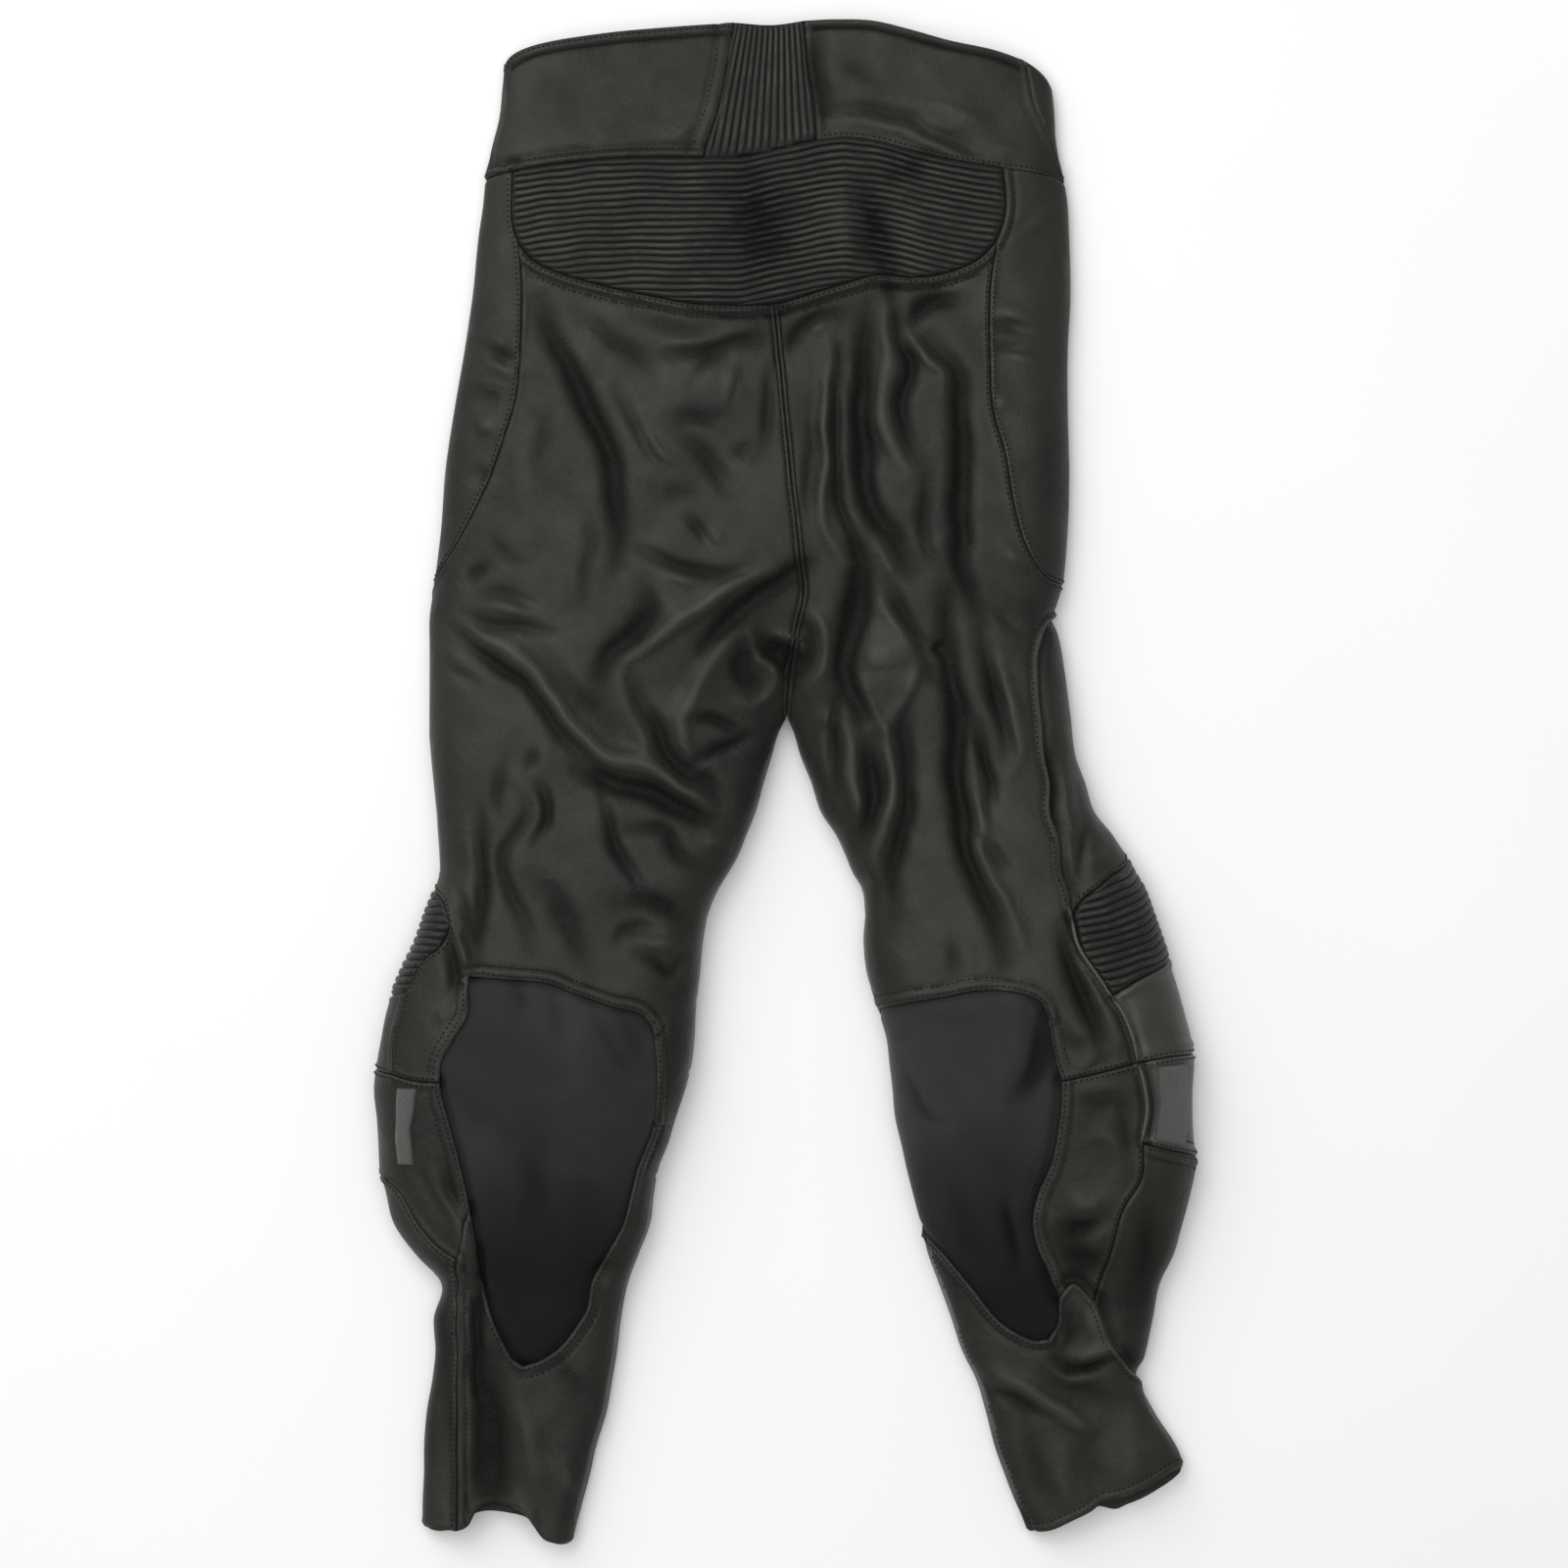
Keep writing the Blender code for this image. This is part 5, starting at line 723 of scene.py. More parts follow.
def runAlong(points):
    # Length of the line from its first point to each one
    return np.concatenate([[0], np.cumsum(np.linalg.norm(np.diff(points, axis=0), axis=1))])


def closed(points):
    # The points with the first one once more at the end
    return np.concatenate([points, points[:1]])


def cubic(t, span, low, high, slopeLow, slopeHigh):
    # Cubic over a span from one value and slope, where t is 0, to another, where t is 1
    return ((1 + 2 * t) * (1 - t) ** 2 * low + t * t * (3 - 2 * t) * high
            + span * t * (1 - t) * ((1 - t) * slopeLow - t * slopeHigh))


def smooth(y, rows, column):
    # Cubic through the rows of a table, each slope taken from the rows beside it
    ys = rows[:, 0]
    vs = rows[:, column]
    slopes = np.gradient(vs, ys)
    i = np.clip(np.searchsorted(ys, y) - 1, 0, len(ys) - 2)
    span = ys[i + 1] - ys[i]
    t = np.clip((y - ys[i]) / span, 0.0, 1.0)
    return cubic(t, span, vs[i], vs[i + 1], slopes[i], slopes[i + 1])


def outline(y):
    # Left outer, left inner, right inner and right outer edge: both inner ones are the centre
    # seam above the crotch
    y = np.asarray(y, dtype=float)
    high = y >= cloth["crotchY"]
    centre = smooth(y, centreRows, 1)
    return (np.where(high, smooth(y, trunkRows, 1), smooth(y, legRows, 1)),
            np.where(high, centre, smooth(y, legRows, 2)),
            np.where(high, centre, smooth(y, legRows, 3)),
            np.where(high, smooth(y, trunkRows, 2), smooth(y, legRows, 4)))


def tubeSpan(tube, y):
    # Centre and half width of a tube: 0 is the trunk, 1 the left leg, 2 the right leg
    left, leftIn, rightIn, right = outline(y)
    low = np.where(tube == 2, rightIn, left)
    high = np.where(tube == 1, leftIn, right)
    return (low + high) / 2, (high - low) / 2


def hump(x, y):
    # Square of the section's rise: 1 less the fourth power of the place across a leg, or the
    # sixth power across the trunk, blended over the join
    left, leftIn, rightIn, right = outline(y)
    onLeft = x < (leftIn + rightIn) / 2
    low = np.where(onLeft, left, rightIn)
    high = np.where(onLeft, leftIn, right)
    leg = 1 - np.abs((2 * x - low - high) / (high - low)) ** cloth["legSquareness"]
    trunk = 1 - np.abs((2 * x - left - right) / (right - left)) ** cloth["trunkSquareness"]
    part = np.clip((y - cloth["crotchY"]) / cloth["joinLength"], 0, 1)
    share = part * (2 - part)
    return np.clip(share * trunk + (1 - share) * leg, 0, None)


def softLine(spots, gap):
    # Curve through the spots: a cubic over each stretch, slopes from the spots beside it,
    # sampled about every gap
    spots = np.array(spots, dtype=float)
    run = runAlong(spots)
    slopes = np.gradient(spots, run, axis=0)
    at = np.linspace(0, run[-1], max(2, math.ceil(run[-1] / gap) + 1))
    i = np.clip(np.searchsorted(run, at) - 1, 0, len(run) - 2)
    span = (run[i + 1] - run[i])[:, None]
    t = (at - run[i])[:, None] / span
    return cubic(t, span, spots[i], spots[i + 1], slopes[i], slopes[i + 1])


def foldRelief(x, y, folds):
    # Sum over the folds of height * sin(pi * (0.12 + 0.76 * share of the line)) *
    # exp(-(distance / half width) squared), in coordinates bent a little by slow sines
    wide, fine = 0.8, 0.45   # mm that the two sines bend a fold by
    far = 2.6                # half widths past which a fold has died away
    total = np.zeros_like(x)
    x, y = (x + wide * np.sin(y / 9.7 + 0.4) + fine * np.sin((x + y) / 5.9),
            y + wide * np.sin(x / 10.3 + 1.9) + fine * np.sin((x - y) / 6.3))
    for height, width, line in folds:
        reach = far * width
        low = line.min(axis=0) - reach
        high = line.max(axis=0) + reach
        some = np.flatnonzero((x > low[0]) & (x < high[0]) & (y > low[1]) & (y < high[1]))
        if len(some) == 0:
            continue
        start, along = line[:-1], np.diff(line, axis=0)
        offX = x[some, None] - start[:, 0]
        offY = y[some, None] - start[:, 1]
        t = (offX * along[:, 0] + offY * along[:, 1]) / (along * along).sum(axis=1)
        t = np.clip(t, 0, 1)
        gap = (offX - t * along[:, 0]) ** 2 + (offY - t * along[:, 1]) ** 2
        least = gap.argmin(axis=1)
        here = np.arange(len(some))
        share = (least + t[here, least]) / len(along)
        fade = np.sin(np.pi * (0.12 + 0.76 * share))
        total[some] += height * fade * np.exp(-gap[here, least] / width ** 2)
    return total


def waves(x, y):
    # Faint unevenness of laid leather: crossed sines, each bent by a slower one
    bentX = x + 9 * np.sin(y / 41.0 + 0.7)
    bentY = y + 11 * np.sin(x / 33.0 + 2.1)
    return (0.55 * np.sin(bentX / 9.1 + bentY / 23.0) * np.sin(bentY / 13.7 - 0.8)
            + 0.45 * np.sin(bentX / 14.3 - bentY / 17.9 + 1.3)
            + 0.25 * np.sin(bentX / 5.9 + 0.4) * np.sin(bentY / 7.3 + 1.9))


def heights(x, y, layer):
    # Top: side edge plus crown times the rise, with the folds fading at the sides.
    # Underneath: the side edge rolls down to the table by a quarter sine
    square = hump(x, y)
    rise = np.sqrt(square)
    edge = smooth(y, heightRows, 1)
    crown = smooth(y, heightRows, 2)
    inward = np.clip(cloth["sideFade"] * square, 0, 1)
    folds = foldRelief(x, y, topFolds) + waves(x, y)
    top = edge + crown * rise + folds * inward
    under = edge * (1 - np.sin(np.clip(cloth["underRoll"] * rise, 0, math.pi / 2)))
    under += foldRelief(x, y, lowFolds) * np.clip(square, 0, 1)
    return np.where(layer >= 0, top, under)


def angleOf(tube, points):
    # Angle round a tube: 0 at its left edge, pi at its right edge, below 0 underneath
    centre, half = tubeSpan(tube, points[:, 1])
    angle = np.arccos(np.clip((centre - points[:, 0]) / half, -1, 1))
    return np.where(points[:, 2] < 0, -angle, angle)


def fromAngle(tube, angle, y):
    # Point (x, y, layer) at an angle round a tube
    centre, half = tubeSpan(tube, y)
    layer = np.where(np.sin(angle) >= 0, 1.0, -1.0)
    return np.stack([centre - half * np.cos(angle), y, layer], axis=1)


def surface(points):
    # Place in space of each point (x, y, layer)
    z = heights(points[:, 0], points[:, 1], points[:, 2])
    return np.stack([points[:, 0], points[:, 1], z], axis=1)


def tubeOf(points):
    # Tube that a point's slopes are taken on
    _, leftIn, rightIn, _ = outline(points[:, 1])
    leg = np.where(points[:, 0] < (leftIn + rightIn) / 2, 1, 2)
    return np.where(points[:, 1] >= cloth["crotchY"], 0, leg)


def slopesAt(points):
    # Change of the surface per radian round the tube and per mm along it, and the outward
    # normal, which is their cross product at length 1
    tube = tubeOf(points)
    angle = angleOf(tube, points)
    y = points[:, 1]
    turn, nudge = 1e-4, 0.02
    roundIt = (surface(fromAngle(tube, angle + turn, y))
               - surface(fromAngle(tube, angle - turn, y))) / (2 * turn)
    alongIt = (surface(fromAngle(tube, angle, y + nudge))
               - surface(fromAngle(tube, angle, y - nudge))) / (2 * nudge)
    return tube, angle, roundIt, alongIt, unit(np.cross(roundIt, alongIt))


def slide(points, shift):
    # Points moved over the surface by a shift given in space: least squares on both slopes
    tube, angle, roundIt, alongIt, _ = slopesAt(points)
    aa = (roundIt * roundIt).sum(axis=1)
    ab = (roundIt * alongIt).sum(axis=1)
    bb = (alongIt * alongIt).sum(axis=1)
    ra = (roundIt * shift).sum(axis=1)
    rb = (alongIt * shift).sum(axis=1)
    span = np.maximum(aa * bb - ab * ab, 1e-9)
    most = 0.6   # radians, where the two slopes are nearly the same
    turn = np.clip((bb * ra - ab * rb) / span, -most, most)
    return fromAngle(tube, angle + turn, points[:, 1] + (aa * rb - ab * ra) / span)


def unroll(chart, points, lies):
    # Flat coordinates: angle times the chart's scale, and y. A far chart counts on past the
    # right edge to the underside
    tube, far, scale = charts[chart]
    layer = np.where(points[:, 2] == 0, lies, points[:, 2])
    angle = angleOf(tube, np.stack([points[:, 0], points[:, 1], layer], axis=1))
    if far:
        angle = np.where(angle < 0, angle + 2 * math.pi, angle)
        angle = np.where((angle == 0) & (layer < 0), 2 * math.pi, angle)
    return np.round(np.stack([angle * scale, points[:, 1]], axis=1), 4)


def rollUp(chart, flat):
    # Back from flat coordinates to points (x, y, layer)
    tube, _, scale = charts[chart]
    return fromAngle(tube, flat[:, 0] / scale, flat[:, 1])


def seamPoints(chart, where, *spots):
    # Points of one seam: evenly along a side edge, or along a soft curve in the flat chart
    lies = -1 if where == "under" else 1
    rows = []
    for spot in spots:
        if isinstance(spot, str):
            side, y = spot.split()
            rows.append((float(outline(float(y))["LlrR".index(side)]), float(y), 0))
        else:
            rows.append(spot if len(spot) == 3 else (*spot, lies))
    rows = np.array(rows, dtype=float)
    step = cloth["underSeamStep" if where == "under" else "seamStep"]
    if where == "edge":
        side = "LlrR".index(spots[-1][0])
        count = math.ceil(abs(rows[-1, 1] - rows[0, 1]) / step) + 1
        y = np.linspace(rows[0, 1], rows[-1, 1], count)
        return np.stack([outline(y)[side], y, np.zeros(count)], axis=1)
    points = rollUp(chart, softLine(unroll(chart, rows, lies), step))
    points[0], points[-1] = rows[0], rows[-1]
    return points


def distanceTo(line, spots, reach=16.0):
    # Least distance in space to a line of straight pieces, no more than the reach. The spots
    # are sorted along y, so that each piece only looks at those beside it
    order = np.argsort(spots[:, 1])
    placed = spots[order]
    least = np.full(len(spots), reach)
    lows = np.searchsorted(placed[:, 1], np.minimum(line[:-1, 1], line[1:, 1]) - reach)
    highs = np.searchsorted(placed[:, 1], np.maximum(line[:-1, 1], line[1:, 1]) + reach)
    for start, end, low, high in zip(line[:-1], line[1:], lows, highs):
        along = end - start
        off = placed[low:high] - start
        t = np.clip(off @ along / max(along @ along, 1e-9), 0, 1)
        off -= t[:, None] * along
        least[low:high] = np.minimum(least[low:high], np.sqrt((off * off).sum(axis=1)))
    result = np.empty(len(spots))
    result[order] = least
    return result


def loopFrom(names):
    # Seams joined end to end; a minus sign runs one backwards
    points = []
    for name in names.split():
        line = seamLines[name.lstrip("-")]
        points.append((line[::-1] if name.startswith("-") else line)[:-1])
    return np.concatenate(points)


# Points across each rib, their spacing along it in mm, how far from a seam and above the table
# the ribs are full, where round the tube and how softly they end, and the most ribs to either
# side of their line
ribbing = {"across": 8, "along": 4.0, "seamFade": 3.0, "fullHeight": 8.0, "endTurn": -0.3,
           "endFade": 0.35, "most": 34}


def crossRibs(chart, spots, pitch):
    # Ribs that run round a tube, one pitch apart along y, beside a line given by angle and y,
    # and wander a little by two sines. The phase counts them, and a rib's profile is the square
    # root of |cos(pi * phase)|: round on top, sharp between
    scale = charts[chart][2]
    turns, ys = np.array(spots, dtype=float).T

    def phase(flat):
        x = flat[:, 0]
        wander = 0.35 * np.sin(x / 17.0 + flat[:, 1] / 9.0) + 0.25 * np.sin(x / 7.0 + 1.0)
        return (flat[:, 1] - np.interp(x / scale, turns, ys) - wander) / pitch

    def warp(flat):
        return np.stack([flat[:, 0] / ribbing["along"], phase(flat) * ribbing["across"]], axis=1)

    def fill(low, high):
        across = np.arange(low[0], high[0], ribbing["along"])
        start = np.interp(across / scale, turns, ys)
        rows = np.arange(-ribbing["most"], ribbing["most"], 1 / ribbing["across"])
        x, row = np.meshgrid(across, rows)
        y = start[None, :] + row * pitch
        for _ in range(3):   # puts each row back on its own phase, the ribs wander a little
            flat = np.stack([x.ravel(), y.ravel()], axis=1)
            y += (row.ravel() - phase(flat)).reshape(y.shape) * pitch
        flat = np.stack([x.ravel(), y.ravel()], axis=1)
        return flat[(flat[:, 1] > low[1]) & (flat[:, 1] < high[1])]

    return {"phase": phase, "warp": warp, "fill": fill}


def uprightRibs(leftLine, rightLine, count):
    # Ribs that run from the waist edge to the waist seam. The phase is the share of the way
    # between two side lines times the count, less a half
    left = np.array(leftLine, dtype=float)
    right = np.array(rightLine, dtype=float)

    def phase(flat):
        spots = rollUp("trunk", flat)
        low = np.interp(spots[:, 1], left[:, 1], left[:, 0])
        high = np.interp(spots[:, 1], right[:, 1], right[:, 0])
        return (spots[:, 0] - low) / (high - low) * count - 0.5

    def warp(flat):
        return np.stack([phase(flat) * ribbing["across"], flat[:, 1] / ribbing["along"]], axis=1)

    def fill(low, high):
        part, y = np.meshgrid(np.arange(0.0, count, 1 / ribbing["across"]) / count,
                              np.arange(low[1], high[1], ribbing["along"]))
        lowX = np.interp(y, left[:, 1], left[:, 0])
        highX = np.interp(y, right[:, 1], right[:, 0])
        x = lowX + part * (highX - lowX)
        spots = np.stack([x.ravel(), y.ravel(), np.ones(x.size)], axis=1)
        return unroll("trunk", spots, 1)

    return {"phase": phase, "warp": warp, "fill": fill}


def panelRelief(panel, flat, spots, gap):
    # Offset from the smooth surface: a dip at every seam, rolls and grooves beside the named
    # ones, and the ribs. Returns the offset, the part of it that the inner wall has too, and
    # how near a rib's top each point is
    base = -cloth["dip"] * np.exp(-(gap / cloth["dipWidth"]) ** 2)
    near = {seam: distanceTo(seamPlaces[seam], spots, cloth["rollReach"])
            for seam, *_ in panel["shape"]}
    for seam, offset, height, width in panel["shape"]:
        base += height * np.exp(-((near[seam] - offset) / width) ** 2)
    base += panel["lift"]
    crest = np.zeros(len(flat))
    if "ribs" in panel:
        scale = charts[panel["chart"]][2]
        crest = np.sqrt(np.abs(np.cos(math.pi * panel["ribs"]["phase"](flat))))
        crest *= (np.clip(gap / ribbing["seamFade"], 0, 1)
                  * np.clip(spots[:, 2] / ribbing["fullHeight"], 0, 1))
        turn = np.sin(flat[:, 0] / scale)
        fromPlain = np.abs(np.cos(flat[:, 0] / scale) - panel["plainAt"]) / ribbing["endFade"]
        crest *= (turn > ribbing["endTurn"]) * (
            0.5 - 0.5 * np.cos(math.pi * np.clip(fromPlain, 0, 1)))
    return base + panel["ribHeight"] * crest, base, crest


def gridFill(chart, low, high):
    # Staggered rows of points: close on top, wide underneath
    scale = charts[chart][2]
    found = []
    for step, onTop in ((cloth["step"], True), (cloth["underStep"], False)):
        x, y = np.meshgrid(np.arange(low[0], high[0], step), np.arange(low[1], high[1], step))
        x = x + 0.5 * step * (np.arange(len(y)) % 2)[:, None]
        flat = np.stack([x.ravel(), y.ravel()], axis=1)
        found.append(flat[(np.sin(flat[:, 0] / scale) > cloth["underFrom"]) == onTop])
    return np.concatenate(found)


def meshFrom(name, points, triangles, marks=None):
    # Mesh from whole arrays, in metres, smooth with its sharp rims kept
    mesh = bpy.data.meshes.new(name)
    mesh.vertices.add(len(points))
    mesh.vertices.foreach_set("co", (points * cloth["mm"] + np.array(cloth["centring"])).ravel())
    mesh.loops.add(triangles.size)
    mesh.loops.foreach_set("vertex_index", triangles.ravel())
    mesh.polygons.add(len(triangles))
    mesh.polygons.foreach_set("loop_start", np.arange(0, triangles.size, 3))
    for label, values in (marks or {}).items():
        mesh.attributes.new(label, "FLOAT", "POINT").data.foreach_set("value", values)
    mesh.update(calc_edges=True)
    mesh.validate()
    mesh.shade_smooth()
    mesh.set_sharp_from_angle(angle=math.radians(cloth["sharpAngle"]))
    return mesh


def addObject(name, data):
    # Object at the origin, in the scene
    item = bpy.data.objects.new(name, data)
    bpy.context.scene.collection.objects.link(item)
    return item


def addPiece(name, mesh, material):
    # Object that rides on the one body, with its material and slot
    piece = addObject(name, mesh)
    mesh.materials.append(material)
    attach(piece, "root")
    return piece


def patchLoop(chart, spots):
    # Straight sides between the corners of a patch, evenly sampled in the flat chart
    flat = unroll(chart, np.array([(x, y, 1.0) for x, y in spots]), 1)
    sides = [start + (end - start) * np.arange(0, 1, 1 / cloth["patchSide"])[:, None]
             for start, end in zip(flat, np.roll(flat, -1, axis=0))]
    return rollUp(chart, np.concatenate(sides))


def preparePanel(panel):
    # Puts the loop in order, anticlockwise in its chart, with its places and normals
    if "spots" in panel:
        loop = patchLoop(panel["chart"], panel["spots"])
    else:
        loop = loopFrom(panel["round"])
    flat = unroll(panel["chart"], loop, panel["lies"])
    after = np.roll(flat, -1, axis=0)
    panel["turned"] = np.sum(flat[:, 0] * after[:, 1] - after[:, 0] * flat[:, 1]) < 0
    if panel["turned"]:
        loop, flat = loop[::-1], flat[::-1]
    panel["loop"], panel["flat"] = loop, flat
    panel["place"] = surface(loop)
    panel["normal"] = slopesAt(loop)[4]


def pointsInside(panel, toPanel, ringLine):
    # Flat points inside an outline: rows beside it where it is on top, then the grid, or else
    # only the points of the ribs
    chart, ribs = panel["chart"], panel.get("ribs")
    low, high = panel["flat"].min(axis=0), panel["flat"].max(axis=0)
    if ribs is not None:
        fill, edgeGap, found = ribs["fill"](low, high), cloth["ribFillGap"], []
    else:
        fill, edgeGap, found = gridFill(chart, low, high), cloth["rows"][-1] + cloth["fillGap"], []
        onTop = panel["place"][:, 2] > cloth["rowsAbove"]
        for distance in cloth["rows"]:
            spots = slide(panel["loop"][onTop], distance * toPanel[onTop])
            clear = distanceTo(ringLine, surface(spots)) > distance - cloth["rowSlack"]
            found.append(unroll(chart, spots[clear], panel["lies"]))
    clear = distanceTo(ringLine, surface(rollUp(chart, fill))) > edgeGap
    return np.concatenate(found + [fill[clear]])


def joinFlat(name, flat, count):
    # Delaunay triangles between flat points, inside the outline that the first of them make
    inside, least = 1, 1e-6   # keeps the triangles within the ring, joins points nearer than that
    ring = np.stack([np.arange(count), (np.arange(count) + 1) % count], axis=1)
    points, _, faces, origins, _, _ = delaunay_2d_cdt(flat.tolist(), ring.tolist(), [], inside,
                                                      least)
    if len(points) != len(flat):
        print("  ", name, "has", len(points) - len(flat), "extra points")
    return np.array([sources[0] for sources in origins])[np.array(faces)]


def buildPanel(name, panel):
    # One cut panel: outline, rows beside it and a fill, joined by Delaunay triangles in the
    # flat chart, pushed out along the normals, with the same sheet one wall below
    loop, flat, place, normal = (panel[k] for k in ("loop", "flat", "place", "normal"))
    ahead = np.roll(place, -1, axis=0) - np.roll(place, 1, axis=0)
    toPanel = unit(np.cross(normal, ahead))
    ringLine = closed(place)
    every = np.concatenate([flat, pointsInside(panel, toPanel, ringLine)])
    count = len(flat)
    warped = panel["ribs"]["warp"](every) if "ribs" in panel else every
    triangles = joinFlat(name, warped, count)
    used = np.unique(triangles)
    order = np.full(len(every), -1)
    order[used] = np.arange(len(used))
    triangles = order[triangles]
    every = every[used]
    spots = np.concatenate([loop, rollUp(panel["chart"], every[count:])])
    there = surface(spots)
    out = slopesAt(spots)[4]
    gap = distanceTo(ringLine, there)
    there[:count] += 0.5 * cloth["seamGap"] * toPanel
    lift, base, crest = panelRelief(panel, every, there, gap)
    inward = np.clip(cloth["sideFade"] * hump(spots[:, 0], spots[:, 1]), 0, 1)
    inward *= spots[:, 2] >= 0
    # Height of the folds and seam reliefs, which the finishes turn into painted shade in troughs
    # and painted highlight on ridges
    fold = foldRelief(spots[:, 0], spots[:, 1], topFolds) * inward + base
    outer = there + lift[:, None] * out
    inner = there + (base - panel["wall"])[:, None] * out
    total = len(outer)
    here = np.arange(count)
    after = (here + 1) % count
    rim = np.concatenate([np.stack([here, here + total, after + total], axis=1),
                          np.stack([here, after + total, after], axis=1)])
    solid = np.concatenate([triangles, triangles[:, ::-1] + total, rim])
    marks = {"gap": np.concatenate([gap, gap]), "crest": np.concatenate([crest, crest]),
             "fold": np.concatenate([fold, fold])}
    mesh = meshFrom(name, np.concatenate([outer, inner]), solid, marks)
    area = np.linalg.norm(np.cross(outer[triangles[:, 1]] - outer[triangles[:, 0]],
                                   outer[triangles[:, 2]] - outer[triangles[:, 0]]), axis=1)
    print(f"  {name}: {len(solid)} triangles, {area.sum() / 2e6:.4f} m2")
    return mesh


def rowAlong(name, seam, offset, pitch):
    # Places and normals along a seam, moved into the panel by the offset and evenly spaced, and
    # which of them are on top and no nearer to another seam
    panel = panels[name]
    names = panel["round"].split()
    sign = 1.0 if seam in names else -1.0
    sign *= -1.0 if panel["turned"] else 1.0
    line = seamLines[seam]
    place = seamPlaces[seam]
    run = runAlong(place)
    at = np.arange(0.5 * pitch, run[-1], pitch)
    line = np.stack([np.interp(at, run, line[:, k]) for k in range(3)], axis=1)
    line[:, 2] = np.where(line[:, 2] < -0.5, -1.0, 1.0)
    place = surface(line)
    ahead = np.gradient(place, axis=0)
    inward = unit(sign * np.cross(slopesAt(line)[4], ahead))
    spots = slide(line, offset * inward)
    there = surface(spots)
    gap = distanceTo(closed(panel["place"]), there)
    flat = unroll(panel["chart"], spots, panel["lies"])
    lift = panelRelief(panel, flat, there, gap)[0]
    out = slopesAt(spots)[4]
    kept = (gap > offset - stitching["slack"]) & (there[:, 2] > stitching["above"])
    return there + lift[:, None] * out, out, kept


def stitchShape(settings):
    # One stitch: two rings of thread between two sunk tips, as a closed shape
    sides = settings["sides"]
    turn = 2 * math.pi * np.arange(sides) / sides
    half, radius = settings["length"] / 2, settings["thread"] / 2
    ringAt = settings["ringAt"] * half
    rings = [np.stack([np.full(sides, x), radius * np.cos(turn),
                       radius * np.sin(turn) + settings["raised"]], axis=1)
             for x in (-ringAt, ringAt)]
    tips = np.array([(-half, 0, -settings["tipDepth"]), (half, 0, -settings["tipDepth"])])
    a = np.arange(sides)
    b = (a + 1) % sides
    faces = [np.stack([a, a + sides, b + sides], axis=1), np.stack([a, b + sides, b], axis=1),
             np.stack([np.full(sides, 2 * sides), a, b], axis=1),
             np.stack([np.full(sides, 2 * sides + 1), b + sides, a + sides], axis=1)]
    return np.concatenate(rings + [tips]), np.concatenate(faces)


def sewRows(name, rows):
    # All stitches of some rows as one mesh: the stitch shape put into the frame of each place
    shape, faces = stitchShape(stitching)
    found = []
    for panelName, seam, offset in rows:
        place, out, kept = rowAlong(panelName, seam, offset, stitching["pitch"])
        along = unit(np.gradient(place, axis=0))
        across = np.cross(out, along)
        turned = np.stack([along, across, out], axis=1)[kept]
        found.append(np.einsum("vk,nkc->nvc", shape, turned) + place[kept][:, None, :])
    points = np.concatenate(found)
    count = len(points)
    triangles = (faces[None] + np.arange(count)[:, None, None] * len(shape)).reshape(-1, 3)
    print(f"  {name}: {count} stitches, {len(triangles)} triangles")
    return meshFrom(name, points.reshape(-1, 3), triangles)


def tubeAlong(name, lines, radius, sides=8):
    # Round cord along each line of places and normals: rings of points that narrow over the
    # last three towards two tips
    taper, blunt = 3, 0.08   # rings it narrows over, and what is left at the tip
    points, triangles, start = [], [], 0
    turn = 2 * math.pi * np.arange(sides) / sides
    for place, out in lines:
        along = unit(np.gradient(place, axis=0))
        across = unit(np.cross(out, along))
        up = np.cross(along, across)
        count = len(place)
        toEnd = np.minimum(np.arange(count), np.arange(count)[::-1])
        grow = radius * np.sqrt(np.clip(toEnd / taper + blunt, 0, 1))
        circle = (np.cos(turn)[None, :, None] * across[:, None]
                  + np.sin(turn)[None, :, None] * up[:, None])
        rings = place[:, None] + grow[:, None, None] * circle
        i, j = np.meshgrid(np.arange(count - 1), np.arange(sides), indexing="ij")
        a = i * sides + j
        b = i * sides + (j + 1) % sides
        quads = np.concatenate([np.stack([a, b, b + sides], axis=2).reshape(-1, 3),
                                np.stack([a, b + sides, a + sides], axis=2).reshape(-1, 3)])
        j = np.arange(sides)
        k = (j + 1) % sides
        first = np.stack([np.full(sides, count * sides), k, j], axis=1)
        last = np.stack([np.full(sides, count * sides + 1), j, k], axis=1)
        last[:, 1:] += (count - 1) * sides
        points.append(np.concatenate([rings.reshape(-1, 3), place[:1], place[-1:]]))
        triangles.append(np.concatenate([quads, first, last]) + start)
        start += count * sides + 2
    points = np.concatenate(points)
    # Its leather looks as it does on a raised fold far from a seam, with the painted highlight of a
    # ridge
    plain = {"gap": np.full(len(points), 9.0), "fold": np.full(len(points), 3.0)}
    return meshFrom(name, points, np.concatenate(triangles), plain)


